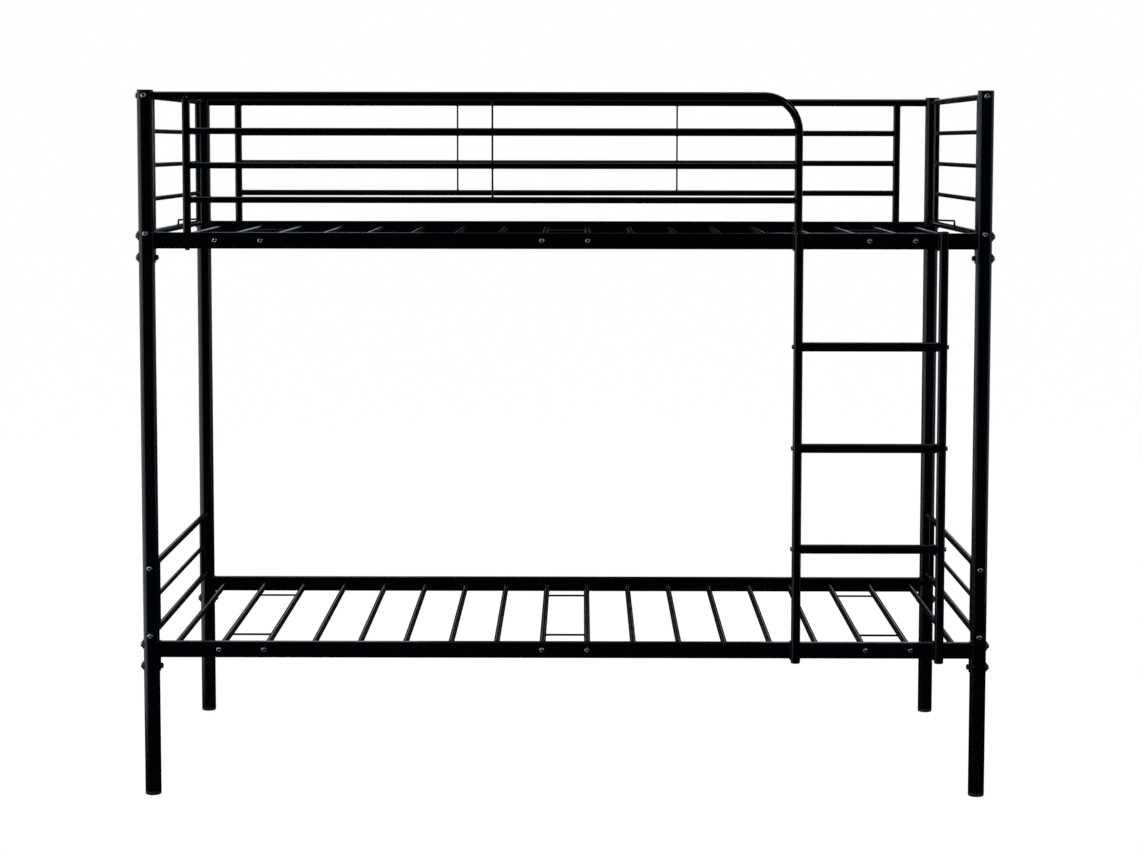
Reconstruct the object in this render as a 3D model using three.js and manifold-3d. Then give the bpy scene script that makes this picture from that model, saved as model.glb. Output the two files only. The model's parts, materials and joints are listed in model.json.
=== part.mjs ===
// Single-over-single bunk bed with a bolted ladder, welded and bolted from steel tube.
// Millimetres, +X along the bed, +Y to the back, +Z up. The origin is on the floor,
// under the middle of the whole bed with its ladder.

import * as THREE from 'three';
import { mergeVertices } from 'three/addons/utils/BufferGeometryUtils.js';
import Module from 'manifold-3d';

const wasm = await Module();
wasm.setup();

// ---- Driving sizes -----------------------------------------------------------------

const gap = 0.3; // between pieces that touch

const postSpan = 1958; // post centre to post centre, along the bed
const postDepth = 942; // post centre to post centre, front to back
const postDiameter = 38;
const postWall = 1.5;

const capThickness = 3;
const footHeight = 9;
const plugLength = 16; // of caps and feet, inside the tubes

const railHeight = 38;
const railThickness = 20;
const railWall = 1.5;
const railCorner = 3;
const lowerRailTop = 369;
const bunkSpacing = 968; // from the lower rails' tops to the upper rails'

const saddlePlate = 2.5; // curved plate at each end of a rail, round the post
const saddleSpread = 55; // degrees each side of the rail's axis
const saddleDrop = 33; // plate below the rail

const slatCount = 18;
const slatMargin = 50; // post centre to the first slat's axis
const slatPairNarrowing = 1.5; // how much closer a bolted pair is than the pitch
const slatDiameter = 15;
const slatWall = 1.2;
const slatInsertion = 8; // of a slat's end past the rail's inner face
const slatHoleClearance = 0.4; // all round
const pairedSlats = [1, 8, 15]; // first slat of each bolted pair
const pairWireDiameter = 5;
const pairWireOffset = 282; // from the bed's long centre line

const endBarDiameter = 15;
const endBarWall = 1.5;
const endRodDiameter = 11;
const endUprightInset = 95; // upright's axis from the post's axis

const stopWireDiameter = 5; // mattress stop on the upper end frames
const stopLegAt = 20; // from the bed's long centre line, towards the back
const stopHighRise = 18; // wire's axis above the bar's axis at the leg
const stopLowRise = 10; // and where it meets the upright
const stopCorner = 7;

const guardTubeDiameter = 19;
const guardTubeWall = 1.5;
const guardRise = 318; // of the top tube's axis above the upper rails
const guardBarRises = [76, 156, 236]; // and of the bars below it
const guardUprightInset = 95; // upright's axis from the post's axis
const guardBend = 82; // radius of the front guard's bend, at the tube's axis
const guardBarDiameter = 15;
const guardBarWall = 1.2;
const guardRodDiameter = 4.5;
const postHeadroom = 14; // top of the caps above the guards' top axis

// Heights of the end frames' bars above their rails
const upperEndRises = { top: guardRise, rods: guardBarRises, bottom: -3 };
const lowerEndRises = { top: 175, rods: [94], bottom: 14 };

const ladderInset = 96; // the right stile's axis from the right post's
const ladderSpacing = 338; // between the stiles' axes
const stileDiameter = 22;
const stileWall = 1.5;
const stileCapRise = 5; // above the upper rail
const stileTail = 5; // below the lower rail
const rungDiameter = 22;
const rungWall = 1.5;
const rungCount = 3;
const firstRungRise = 226; // above the lower rails
const rungSpacing = 238.5;
const clipWidth = 25;
const clipThickness = 3;
const clipDepth = 18; // of the clip's flanges, over and under a rail

const weldSink = 0.8; // how far welded pieces run into each other

// ---- How finely round things are faceted -------------------------------------------

const postSides = 20; // posts and what plugs them
const fitSides = 28; // the space cut out for a post
const barSides = 12; // bars and tubes
const boreSides = 8; // the inside of the tubes
const slatSides = 10;
const wireSides = 6;
const saddleSteps = 4; // along a saddle's arc
const cornerSteps = 1; // round a rail's corner
const guardBendSteps = 6;
const stopBendSteps = 4;

// ---- Sizes worked out from these ---------------------------------------------------

const frontY = -postDepth / 2;
const backY = postDepth / 2;
const leftX = -postSpan / 2;
const rightX = postSpan / 2;
const upperRailTop = lowerRailTop + bunkSpacing;
const guardTopHeight = upperRailTop + guardRise;
const postHeight = guardTopHeight + postHeadroom;
const slatPitch = (postSpan - 2 * slatMargin) / (slatCount - 1);
const postRadius = postDiameter / 2;
const fitRadius = postRadius + gap; // what bears on a post is cut to this
const boreRadius = postRadius - postWall;
const insideWidth = postDepth - railThickness; // between the rails
const ladderRight = rightX - ladderInset;
const ladderLeft = ladderRight - ladderSpacing;
const railFrontFace = frontY - railThickness / 2;
const clipFront = railFrontFace - gap - clipThickness;
const stileY = clipFront - stileDiameter / 2 + weldSink;
const ladderFront = stileY - stileDiameter / 2;
const bedCentreY = (ladderFront + backY + postRadius) / 2;

// ---- Finishes ----------------------------------------------------------------------

const enamel = new THREE.MeshStandardMaterial({ color: 0x0b0c0f, roughness: 0.3, metalness: 0.2 });
const plastic = new THREE.MeshStandardMaterial({ color: 0x0a0a0b, roughness: 0.5, metalness: 0 });

// ---- Solids ------------------------------------------------------------------------

function at(x, y, z) {
  return new THREE.Vector3(x, y, z);
}

// The closed triangle mesh of a geometry, with shared corners merged.
function closedMesh(geometry) {
  const bare = geometry.clone();
  bare.deleteAttribute('normal');
  bare.deleteAttribute('uv');
  const merged = mergeVertices(bare, 1e-4);
  const corners = merged.index.array;
  const triangles = [];
  for (let i = 0; i < corners.length; i += 3) {
    const [a, b, c] = [corners[i], corners[i + 1], corners[i + 2]];
    if (a !== b && b !== c && c !== a) triangles.push(a, b, c);
  }
  return {
    numProp: 3,
    vertProperties: Float32Array.from(merged.attributes.position.array),
    triVerts: Uint32Array.from(triangles),
  };
}

function solid(geometry) {
  return new wasm.Manifold(new wasm.Mesh(closedMesh(geometry)));
}

function geometryOf(body) {
  const mesh = body.getMesh();
  const geometry = new THREE.BufferGeometry();
  geometry.setAttribute('position', new THREE.BufferAttribute(mesh.vertProperties, 3));
  geometry.setIndex(new THREE.BufferAttribute(mesh.triVerts, 1));
  geometry.computeVertexNormals();
  return geometry;
}

function joined(bodies) {
  return bodies.reduce((whole, body) => whole.add(body));
}

// A round bar between two points.
function bar(from, to, diameter, sides = barSides) {
  const along = to.clone().sub(from);
  const geometry = new THREE.CylinderGeometry(diameter / 2, diameter / 2, along.length(), sides);
  const turn = new THREE.Quaternion().setFromUnitVectors(at(0, 1, 0), along.clone().normalize());
  geometry.applyQuaternion(turn);
  geometry.translate(...from.clone().add(to).multiplyScalar(0.5).toArray());
  return solid(geometry);
}

// A solid turned about the Z axis from [radius, height] pairs.
function turned(outline, sides) {
  const points = outline.map(([radius, height]) => new THREE.Vector2(radius, height));
  const geometry = new THREE.LatheGeometry(points, sides);
  geometry.rotateX(Math.PI / 2);
  return solid(geometry);
}

// A block between two corners.
function block(low, high) {
  const size = high.clone().sub(low);
  const geometry = new THREE.BoxGeometry(size.x, size.y, size.z);
  geometry.translate(...low.clone().add(high).multiplyScalar(0.5).toArray());
  return solid(geometry);
}

// A path of straight runs joined by round bends, sampled only where it turns.
class BentPath extends THREE.Curve {
  constructor(corners, bend, stepsPerBend) {
    super();
    this.stations = [corners[0]];
    for (let i = 1; i < corners.length - 1; i += 1) {
      const into = corners[i].clone().sub(corners[i - 1]).normalize();
      const out = corners[i + 1].clone().sub(corners[i]).normalize();
      const turn = into.angleTo(out);
      const setback = bend * Math.tan(turn / 2);
      const start = corners[i].clone().addScaledVector(into, -setback);
      const inward = out.clone().addScaledVector(into, -into.dot(out)).normalize();
      for (let step = 0; step <= stepsPerBend; step += 1) {
        const angle = (turn * step) / stepsPerBend;
        const point = start.clone().addScaledVector(into, bend * Math.sin(angle));
        this.stations.push(point.addScaledVector(inward, bend * (1 - Math.cos(angle))));
      }
    }
    this.stations.push(corners[corners.length - 1]);
    this.steps = this.stations.length - 1;
  }

  getPoint(t, target = new THREE.Vector3()) {
    const place = Math.min(Math.max(t, 0), 1) * this.steps;
    const i = Math.min(Math.floor(place), this.steps - 1);
    return target.copy(this.stations[i]).lerp(this.stations[i + 1], place - i);
  }

  getUtoTmapping(u) {
    return u;
  }
}

// A round bar bent along a path of straight runs.
function bentBar(corners, bend, stepsPerBend, diameter, sides) {
  const path = new BentPath(corners, bend, stepsPerBend);
  const section = new THREE.Shape();
  section.absarc(0, 0, diameter / 2, 0, 2 * Math.PI, false);
  const settings = { steps: path.steps, extrudePath: path, curveSegments: sides / 2 };
  return solid(new THREE.ExtrudeGeometry(section, settings));
}

// The space that a post takes, with the gap round it.
function postSpace(x, y) {
  return bar(at(x, y, -gap), at(x, y, postHeight + gap), 2 * fitRadius, fitSides);
}

// ---- Nodes -------------------------------------------------------------------------

const bed = new THREE.Group();
const placed = new THREE.Group();
placed.position.set(0, -bedCentreY, 0);
bed.add(placed);

function addPiece(name, body, material = enamel) {
  const mesh = new THREE.Mesh(geometryOf(body), material);
  mesh.name = name;
  placed.add(mesh);
}

// ---- Posts, with their caps and feet -----------------------------------------------

function post() {
  const [low, high] = [footHeight + gap, postHeight - capThickness - gap];
  const wall = [[boreRadius, low], [postRadius, low], [postRadius, high], [boreRadius, high]];
  return turned([...wall, wall[0]], postSides);
}

function cap() {
  const edge = 1; // rounding of the cap's rim
  const seat = postHeight - capThickness;
  const plug = boreRadius - gap;
  return turned([
    [0, seat - plugLength], [plug, seat - plugLength], [plug, seat], [postRadius, seat],
    [postRadius, postHeight - edge], [postRadius - edge, postHeight], [0, postHeight],
  ], postSides);
}

function foot() {
  const edge = 3; // rounding where the foot meets the floor
  const plug = boreRadius - gap;
  return turned([
    [0, 0], [postRadius - edge, 0], [postRadius, edge], [postRadius, footHeight],
    [plug, footHeight], [plug, footHeight + plugLength], [0, footHeight + plugLength],
  ], postSides);
}

const corners = {
  front_left: [leftX, frontY],
  front_right: [rightX, frontY],
  rear_left: [leftX, backY],
  rear_right: [rightX, backY],
};

for (const [name, [x, y]] of Object.entries(corners)) {
  addPiece(`post_${name}`, post().translate([x, y, 0]));
  addPiece(`post_cap_${name}`, cap().translate([x, y, 0]), plastic);
  addPiece(`post_foot_${name}`, foot().translate([x, y, 0]), plastic);
}

// ---- Slats -------------------------------------------------------------------------

function slatX(index) {
  const even = (index - (slatCount - 1) / 2) * slatPitch;
  if (pairedSlats.includes(index)) return even + slatPairNarrowing / 2;
  if (pairedSlats.includes(index - 1)) return even - slatPairNarrowing / 2;
  return even;
}

function isPaired(index) {
  return pairedSlats.includes(index) || pairedSlats.includes(index - 1);
}

// A slat's tube; reach is from the bed's long centre line to its ends.
function slat(x, z, reach) {
  const bore = slatDiameter - 2 * slatWall;
  const outside = bar(at(x, -reach, z), at(x, reach, z), slatDiameter, slatSides);
  return outside.subtract(bar(at(x, -reach - gap, z), at(x, reach + gap, z), bore, slatSides));
}

// Two slats on one frame, bolted between the rails' inner faces.
function slatPair(index, z) {
  const reach = insideWidth / 2 - gap;
  const [near, far] = [slatX(index), slatX(index + 1)];
  const intoWall = slatDiameter / 2 - slatWall / 2;
  const wires = [-pairWireOffset, pairWireOffset].map((y) => (
    bar(at(near + intoWall, y, z), at(far - intoWall, y, z), pairWireDiameter, wireSides)
  ));
  return joined([slat(near, z, reach), slat(far, z, reach), ...wires]);
}

function addSlats(bunk, railTop) {
  const z = railTop - railHeight / 2;
  for (let index = 0; index < slatCount; index += 1) {
    const number = String(index + 1).padStart(2, '0');
    if (pairedSlats.includes(index)) {
      const partner = String(index + 2).padStart(2, '0');
      addPiece(`${bunk}_slat_pair_${number}_${partner}`, slatPair(index, z));
    } else if (!isPaired(index)) {
      addPiece(`${bunk}_slat_${number}`, slat(slatX(index), z, insideWidth / 2 + slatInsertion));
    }
  }
}

addSlats('upper', upperRailTop);
addSlats('lower', lowerRailTop);

// ---- Side rails --------------------------------------------------------------------

// A rectangle tube's section, standing on edge, as a bar along X.
function railBar(halfLength, thickness, height, corner) {
  const [w, h] = [thickness / 2, height / 2];
  const section = new THREE.Shape();
  section.moveTo(-w + corner, -h);
  section.absarc(w - corner, -h + corner, corner, -Math.PI / 2, 0, false);
  section.absarc(w - corner, h - corner, corner, 0, Math.PI / 2, false);
  section.absarc(-w + corner, h - corner, corner, Math.PI / 2, Math.PI, false);
  section.absarc(-w + corner, -h + corner, corner, Math.PI, 1.5 * Math.PI, false);
  const settings = { depth: 2 * halfLength, bevelEnabled: false, curveSegments: cornerSteps };
  const geometry = new THREE.ExtrudeGeometry(section, settings);
  geometry.translate(0, 0, -halfLength);
  geometry.rotateX(Math.PI / 2);
  geometry.rotateZ(Math.PI / 2);
  return solid(geometry);
}

// The curved plate that bears on a post; side is 1 at the right-hand post.
function saddle(side, railTop) {
  const spread = THREE.MathUtils.degToRad(saddleSpread);
  const outer = fitRadius + saddlePlate;
  const section = new THREE.Shape();
  const inner = fitRadius - saddlePlate / 2; // the post's space is cut out of it afterwards
  section.absarc(0, 0, outer, Math.PI - spread, Math.PI + spread, false);
  section.absarc(0, 0, inner, Math.PI + spread, Math.PI - spread, true);
  const depth = railHeight + saddleDrop;
  const settings = { depth, bevelEnabled: false, curveSegments: saddleSteps };
  const geometry = new THREE.ExtrudeGeometry(section, settings);
  if (side < 0) geometry.rotateZ(Math.PI);
  geometry.translate((side * postSpan) / 2, 0, railTop - depth);
  return solid(geometry);
}

// inward is the Y direction from this rail to the middle of the bed.
function sideRail(railTop, y, inward) {
  const z = railTop - railHeight / 2;
  const boreReach = postSpan / 2 - fitRadius - 1.5 * saddlePlate;
  const bore = railBar(boreReach, railThickness - 2 * railWall,
    railHeight - 2 * railWall, railCorner - railWall / 2);
  const outside = railBar(postSpan / 2, railThickness, railHeight, railCorner);
  let rail = outside.subtract(bore).translate([0, 0, z]);
  rail = joined([rail, saddle(1, railTop), saddle(-1, railTop)]).translate([0, y, 0]);
  const holeDiameter = slatDiameter + 2 * slatHoleClearance;
  const inside = y + (inward * railThickness) / 2;
  for (let index = 0; index < slatCount; index += 1) {
    if (isPaired(index)) continue;
    const x = slatX(index);
    const from = at(x, inside - inward * (railWall + gap), z);
    rail = rail.subtract(bar(from, at(x, inside + inward * gap, z), holeDiameter, slatSides));
  }
  return rail.subtract(postSpace(leftX, y)).subtract(postSpace(rightX, y));
}

addPiece('upper_front_rail', sideRail(upperRailTop, frontY, 1));
addPiece('upper_rear_rail', sideRail(upperRailTop, backY, -1));
addPiece('lower_front_rail', sideRail(lowerRailTop, frontY, 1));
addPiece('lower_rear_rail', sideRail(lowerRailTop, backY, -1));

// ---- End frames --------------------------------------------------------------------

// Bars as a welded frame. A bar with a wall is hollow, and the bores meet.
function tubeFrame(bars) {
  const outsides = joined(bars.map(({ from, to, diameter }) => bar(from, to, diameter)));
  return bars.reduce((frame, { from, to, diameter, wall }) => (
    wall ? frame.subtract(bar(from, to, diameter - 2 * wall, boreSides)) : frame
  ), outsides);
}

function endFrame(x, railTop, rises, hasStop) {
  const uprightY = postDepth / 2 - endUprightInset;
  const [top, bottom] = [railTop + rises.top, railTop + rises.bottom];
  const bars = [];
  for (const z of [top, bottom]) {
    const [from, to] = [at(x, frontY, z), at(x, backY, z)];
    bars.push({ from, to, diameter: endBarDiameter, wall: endBarWall });
  }
  for (const y of [-uprightY, uprightY]) {
    const [from, to] = [at(x, y, bottom), at(x, y, top)];
    bars.push({ from, to, diameter: endBarDiameter, wall: endBarWall });
  }
  for (const rise of rises.rods) {
    const [from, to] = [at(x, -uprightY, railTop + rise), at(x, uprightY, railTop + rise)];
    bars.push({ from, to, diameter: endRodDiameter });
  }
  let frame = tubeFrame(bars);
  if (hasStop) frame = frame.add(mattressStop(x, uprightY, bottom));
  return frame.subtract(postSpace(x, frontY)).subtract(postSpace(x, backY));
}

// A wire from the rear upright along the bottom bar, bent down to stand on it.
function mattressStop(x, uprightY, barZ) {
  const intoWall = endBarDiameter / 2 - endBarWall / 2;
  return bentBar([
    at(x, uprightY - intoWall, barZ + stopLowRise),
    at(x, stopLegAt, barZ + stopHighRise),
    at(x, stopLegAt, barZ + intoWall),
  ], stopCorner, stopBendSteps, stopWireDiameter, wireSides);
}

for (const [side, x] of [['left', leftX], ['right', rightX]]) {
  addPiece(`upper_end_frame_${side}`, endFrame(x, upperRailTop, upperEndRises, true));
  addPiece(`lower_end_frame_${side}`, endFrame(x, lowerRailTop, lowerEndRises, false));
}

// ---- Guards of the upper bunk ------------------------------------------------------

const standing = upperRailTop + gap; // lower end of what stands on the upper rails

function guardUpright(x, y) {
  const diameter = guardTubeDiameter;
  return { from: at(x, y, standing), to: at(x, y, guardTopHeight), diameter, wall: guardTubeWall };
}

function guardBars(y, left, right) {
  return guardBarRises.map((rise) => {
    const [from, to] = [at(left, y, upperRailTop + rise), at(right, y, upperRailTop + rise)];
    return { from, to, diameter: guardBarDiameter, wall: guardBarWall };
  });
}

// Thin rods from the top tube to the lowest bar, evenly spaced between the uprights.
function guardRods(y, left, right, count) {
  const top = guardTopHeight - guardTubeDiameter / 2 + weldSink;
  const low = upperRailTop + Math.min(...guardBarRises);
  return Array.from({ length: count }, (_, i) => {
    const x = left + ((right - left) * (i + 1)) / (count + 1);
    return bar(at(x, y, low), at(x, y, top), guardRodDiameter, wireSides);
  });
}

// From the left post to the ladder, where the top tube bends down and stands on the ladder's clip.
function frontGuard() {
  const left = leftX + guardUprightInset;
  const route = [
    at(leftX, frontY, guardTopHeight),
    at(ladderLeft, frontY, guardTopHeight),
    at(ladderLeft, frontY, standing + clipThickness + gap),
  ];
  const bars = [guardUpright(left, frontY), ...guardBars(frontY, left, ladderLeft)];
  const boreDiameter = guardTubeDiameter - 2 * guardTubeWall;
  const topTube = bentBar(route, guardBend, guardBendSteps, guardTubeDiameter, barSides);
  const topBore = bentBar(route, guardBend, guardBendSteps, boreDiameter, boreSides);
  const frame = joined([tubeFrame(bars), topTube]).subtract(topBore);
  return joined([frame, ...guardRods(frontY, left, ladderLeft, 1)])
    .subtract(postSpace(leftX, frontY));
}

// From post to post.
function rearGuard() {
  const [left, right] = [leftX + guardUprightInset, rightX - guardUprightInset];
  const bars = [
    { from: at(leftX, backY, guardTopHeight), to: at(rightX, backY, guardTopHeight),
      diameter: guardTubeDiameter, wall: guardTubeWall },
    guardUpright(left, backY), guardUpright(right, backY), ...guardBars(backY, left, right),
  ];
  return joined([tubeFrame(bars), ...guardRods(backY, left, right, 2)])
    .subtract(postSpace(leftX, backY)).subtract(postSpace(rightX, backY));
}

addPiece('front_guard', frontGuard());
addPiece('rear_guard', rearGuard());

// ---- Ladder ------------------------------------------------------------------------

// A pressed clip that holds a stile to a rail: a plate with a flange over and under it.
function railClip(x, railTop) {
  const [low, high] = [railTop - railHeight - gap, railTop + gap];
  const [left, right] = [x - clipWidth / 2, x + clipWidth / 2];
  const flangeEnd = railFrontFace - gap + clipDepth;
  const plateBack = railFrontFace - gap;
  const plate = block(at(left, clipFront, low - clipThickness), at(right, plateBack, high + clipThickness));
  const over = block(at(left, clipFront, high), at(right, flangeEnd, high + clipThickness));
  const under = block(at(left, clipFront, low - clipThickness), at(right, flangeEnd, low));
  return joined([plate, over, under]);
}

const stileFoot = lowerRailTop - railHeight - stileTail;

// A tube with its head closed and its lower end open, and the clips welded to its back.
function stile(x) {
  const head = upperRailTop + stileCapRise;
  const tube = bar(at(x, stileY, stileFoot), at(x, stileY, head), stileDiameter);
  const bore = bar(at(x, stileY, stileFoot - gap), at(x, stileY, head - stileWall),
    stileDiameter - 2 * stileWall);
  return joined([tube, railClip(x, upperRailTop), railClip(x, lowerRailTop)]).subtract(bore);
}

function stilePlug(x) {
  const rise = 3; // of the plug's rounded head, below the tube
  const top = stileFoot - gap;
  const [rim, plug] = [stileDiameter / 2, stileDiameter / 2 - stileWall - 2 * gap];
  return turned([
    [0, top - rise], [rim - rise, top - rise], [rim, top], [plug, top],
    [plug, top + plugLength], [0, top + plugLength],
  ], barSides).translate([x, stileY, 0]);
}

function rung(z) {
  const [from, to] = [at(ladderLeft, stileY, z), at(ladderRight, stileY, z)];
  const tube = tubeFrame([{ from, to, diameter: rungDiameter, wall: rungWall }]);
  const clearance = stileDiameter + 2 * gap;
  return [ladderLeft, ladderRight].reduce((piece, x) => (
    piece.subtract(bar(at(x, stileY, z - stileDiameter), at(x, stileY, z + stileDiameter), clearance))
  ), tube);
}

for (const [side, x] of [['left', ladderLeft], ['right', ladderRight]]) {
  addPiece(`ladder_stile_${side}`, stile(x));
  addPiece(`ladder_plug_${side}`, stilePlug(x), plastic);
}
for (let i = 0; i < rungCount; i += 1) {
  addPiece(`ladder_rung_${i + 1}`, rung(lowerRailTop + firstRungRise + i * rungSpacing));
}

export default bed;
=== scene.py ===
"""A bunk bed with a bolted ladder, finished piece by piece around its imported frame.

Every piece is measured from the frame's own boxes, in metres: +X runs along the bed, +Y to
the back and +Z up, with the floor at zero. Welded pieces grow from the centre lines of their
bars and from a few ready solids, through one geometry node tree that joins them and runs a
bead round every joint. Small parts that repeat are made once and placed by a second tree.
"""

from __future__ import annotations

import json
import logging
import math
import random
from collections.abc import Iterable, Mapping, Sequence
from dataclasses import dataclass, field
from enum import Enum

import bmesh
import bpy
from mathutils import Matrix, Vector

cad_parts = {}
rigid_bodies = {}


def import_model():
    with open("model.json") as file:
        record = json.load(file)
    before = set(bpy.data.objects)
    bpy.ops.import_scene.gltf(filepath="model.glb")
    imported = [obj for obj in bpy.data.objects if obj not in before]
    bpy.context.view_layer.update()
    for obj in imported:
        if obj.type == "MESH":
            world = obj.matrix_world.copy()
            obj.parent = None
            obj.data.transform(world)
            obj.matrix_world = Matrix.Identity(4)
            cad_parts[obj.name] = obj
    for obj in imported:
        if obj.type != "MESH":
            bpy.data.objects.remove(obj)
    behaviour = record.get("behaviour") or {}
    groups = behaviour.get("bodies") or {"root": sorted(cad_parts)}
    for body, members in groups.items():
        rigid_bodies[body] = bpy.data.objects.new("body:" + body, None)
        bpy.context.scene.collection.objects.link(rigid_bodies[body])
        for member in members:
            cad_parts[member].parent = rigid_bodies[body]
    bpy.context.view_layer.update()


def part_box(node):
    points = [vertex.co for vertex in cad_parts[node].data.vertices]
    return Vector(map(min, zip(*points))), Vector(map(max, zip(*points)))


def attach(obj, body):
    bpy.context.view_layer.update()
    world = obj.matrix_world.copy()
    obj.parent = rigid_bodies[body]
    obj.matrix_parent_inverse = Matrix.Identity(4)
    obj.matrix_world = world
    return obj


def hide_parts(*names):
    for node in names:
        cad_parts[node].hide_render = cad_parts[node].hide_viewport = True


LOG = logging.getLogger("bunk_bed")
BODY = "root"
TINY = 1e-7
FULL_TURN = 2 * math.pi
SHARP_ANGLE = math.radians(35)
UP = Vector((0, 0, 1))
OPAQUE = 1.0
WHITE = (1.0, 1.0, 1.0)

Colour = tuple[float, float, float]


class Bunk(Enum):
    """One of the two berths."""

    UPPER = "upper"
    LOWER = "lower"


class Row(Enum):
    """The front or the back of the bed."""

    FRONT = "front"
    REAR = "rear"

    @property
    def outward(self) -> Vector:
        """The direction away from the bed on this side."""
        return Vector((0, -1, 0)) if self is Row.FRONT else Vector((0, 1, 0))


class Side(Enum):
    """The left or the right end of the bed."""

    LEFT = "left"
    RIGHT = "right"

    @property
    def outward(self) -> Vector:
        """The direction away from the bed at this end."""
        return Vector((-1, 0, 0)) if self is Side.LEFT else Vector((1, 0, 0))


class Slot(Enum):
    """The record's material slots."""

    COAT = "powder_coat"
    PLASTIC = "black_plastic"
    ZINC = "zinc_bolts"


# ---- Node graphs -----------------------------------------------------------------------


class Value:
    """A node's output, which Python's operators work on by adding Math nodes."""

    def __init__(self, graph: Graph, socket: bpy.types.NodeSocket) -> None:
        """Wraps one output socket of a graph's node."""
        self.graph = graph
        self.socket = socket

    def __add__(self, other: Value | float) -> Value:
        """This plus other."""
        return self.graph.maths("ADD", self, other)

    def __radd__(self, other: float) -> Value:
        """Other plus this."""
        return self.graph.maths("ADD", other, self)

    def __sub__(self, other: Value | float) -> Value:
        """This minus other."""
        return self.graph.maths("SUBTRACT", self, other)

    def __rsub__(self, other: float) -> Value:
        """Other minus this."""
        return self.graph.maths("SUBTRACT", other, self)

    def __mul__(self, other: Value | float) -> Value:
        """This times other."""
        return self.graph.maths("MULTIPLY", self, other)

    def __rmul__(self, other: float) -> Value:
        """Other times this."""
        return self.graph.maths("MULTIPLY", other, self)

    def __truediv__(self, other: Value | float) -> Value:
        """This divided by other."""
        return self.graph.maths("DIVIDE", self, other)

    def __rtruediv__(self, other: float) -> Value:
        """Other divided by this."""
        return self.graph.maths("DIVIDE", other, self)


class Outputs:
    """A node's outputs, by name or number, as values."""

    def __init__(self, graph: Graph, node: bpy.types.Node) -> None:
        """Wraps one node of a graph."""
        self.graph = graph
        self.node = node

    def __getitem__(self, key: str | int) -> Value:
        """The output with this name or number."""
        return Value(self.graph, self.node.outputs[key])


class Graph:
    """A node tree that is written as expressions."""

    def __init__(self, tree: bpy.types.NodeTree) -> None:
        """Starts on a tree."""
        self.tree = tree

    def node(
        self,
        kind: str,
        settings: Mapping[str, object] | None = None,
        values: Mapping[str | int, object] | None = None,
    ) -> Outputs:
        """Adds a node.

        Args:
            kind: The node's type.
            settings: The node's own settings, with a ramp's stops under "stops".
            values: What its input sockets hold or are linked to, by name or number.

        Returns:
            The node's outputs.
        """
        made = self.tree.nodes.new(kind)
        for name, setting in (settings or {}).items():
            if name == "stops":
                self._set_stops(made.color_ramp, setting)
            else:
                setattr(made, name, setting)
        for name, value in (values or {}).items():
            self.feed(made.inputs[name], value)
        return Outputs(self, made)

    @staticmethod
    def _set_stops(ramp: bpy.types.ColorRamp, stops: Sequence[tuple[float, float]]) -> None:
        """Gives a ramp its stops.

        Args:
            ramp: The ramp.
            stops: Each stop's place and its grey, both from 0 to 1.
        """
        while len(ramp.elements) < len(stops):
            ramp.elements.new(1.0)
        for element, (place, grey) in zip(ramp.elements, stops):
            element.position = place
            element.color = (grey, grey, grey, OPAQUE)

    def feed(self, socket: bpy.types.NodeSocket, value: object) -> None:
        """Links a value to an input socket, or sets what the socket holds.

        Args:
            socket: The input socket.
            value: A value to link, a list of values for a socket that takes many, or a constant.
        """
        for one in value if isinstance(value, list) else [value]:
            if isinstance(one, Value):
                self.tree.links.new(one.socket, socket)
            else:
                socket.default_value = one

    def maths(self, operation: str, *numbers: Value | float) -> Value:
        """One Math node on one to three numbers."""
        settings = {"operation": operation}
        return self.node("ShaderNodeMath", settings, dict(enumerate(numbers)))[0]


class GeometryGraph(Graph):
    """A geometry node tree with named inputs for its sizes."""

    def __init__(self, name: str) -> None:
        """Starts a tree that takes a mesh and gives a mesh.

        Args:
            name: The tree's name.
        """
        tree = bpy.data.node_groups.new(name, "GeometryNodeTree")
        tree.is_modifier = True
        super().__init__(tree)
        tree.interface.new_socket("Mesh", in_out="INPUT", socket_type="NodeSocketGeometry")
        tree.interface.new_socket("Mesh", in_out="OUTPUT", socket_type="NodeSocketGeometry")
        self.entry = tree.nodes.new("NodeGroupInput")
        self.exit = tree.nodes.new("NodeGroupOutput")

    @property
    def identifiers(self) -> dict[str, str]:
        """Each named input's identifier."""
        items = self.tree.interface.items_tree
        return {item.name: item.identifier for item in items if item.in_out == "INPUT"}

    def size(self, name: str, kind: str, default: float | int | None = None) -> Value:
        """Adds a named input.

        Args:
            name: The input's name.
            kind: The socket's type without its prefix, such as Float.
            default: What it holds unless it is set.

        Returns:
            The input's value inside the tree.
        """
        kind = f"NodeSocket{kind}"
        socket = self.tree.interface.new_socket(name, in_out="INPUT", socket_type=kind)
        if default is not None:
            socket.default_value = default
        return Value(self, self.entry.outputs[name])

    def attribute(self, name: str, kind: str = "FLOAT") -> Value:
        """A named attribute of the mesh."""
        settings = {"data_type": kind}
        return self.node("GeometryNodeInputNamedAttribute", settings, {"Name": name})["Attribute"]

    def close(self, geometry: Value, material: Value) -> None:
        """Ends the tree in real geometry with its material.

        Args:
            geometry: What the tree has made.
            material: The finish that it gets.
        """
        real = self.node("GeometryNodeRealizeInstances", None, {0: geometry})[0]
        dressed = self.node("GeometryNodeSetMaterial", None, {0: real, "Material": material})[0]
        self.feed(self.exit.inputs[0], dressed)


# ---- Shapes ----------------------------------------------------------------------------


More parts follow.
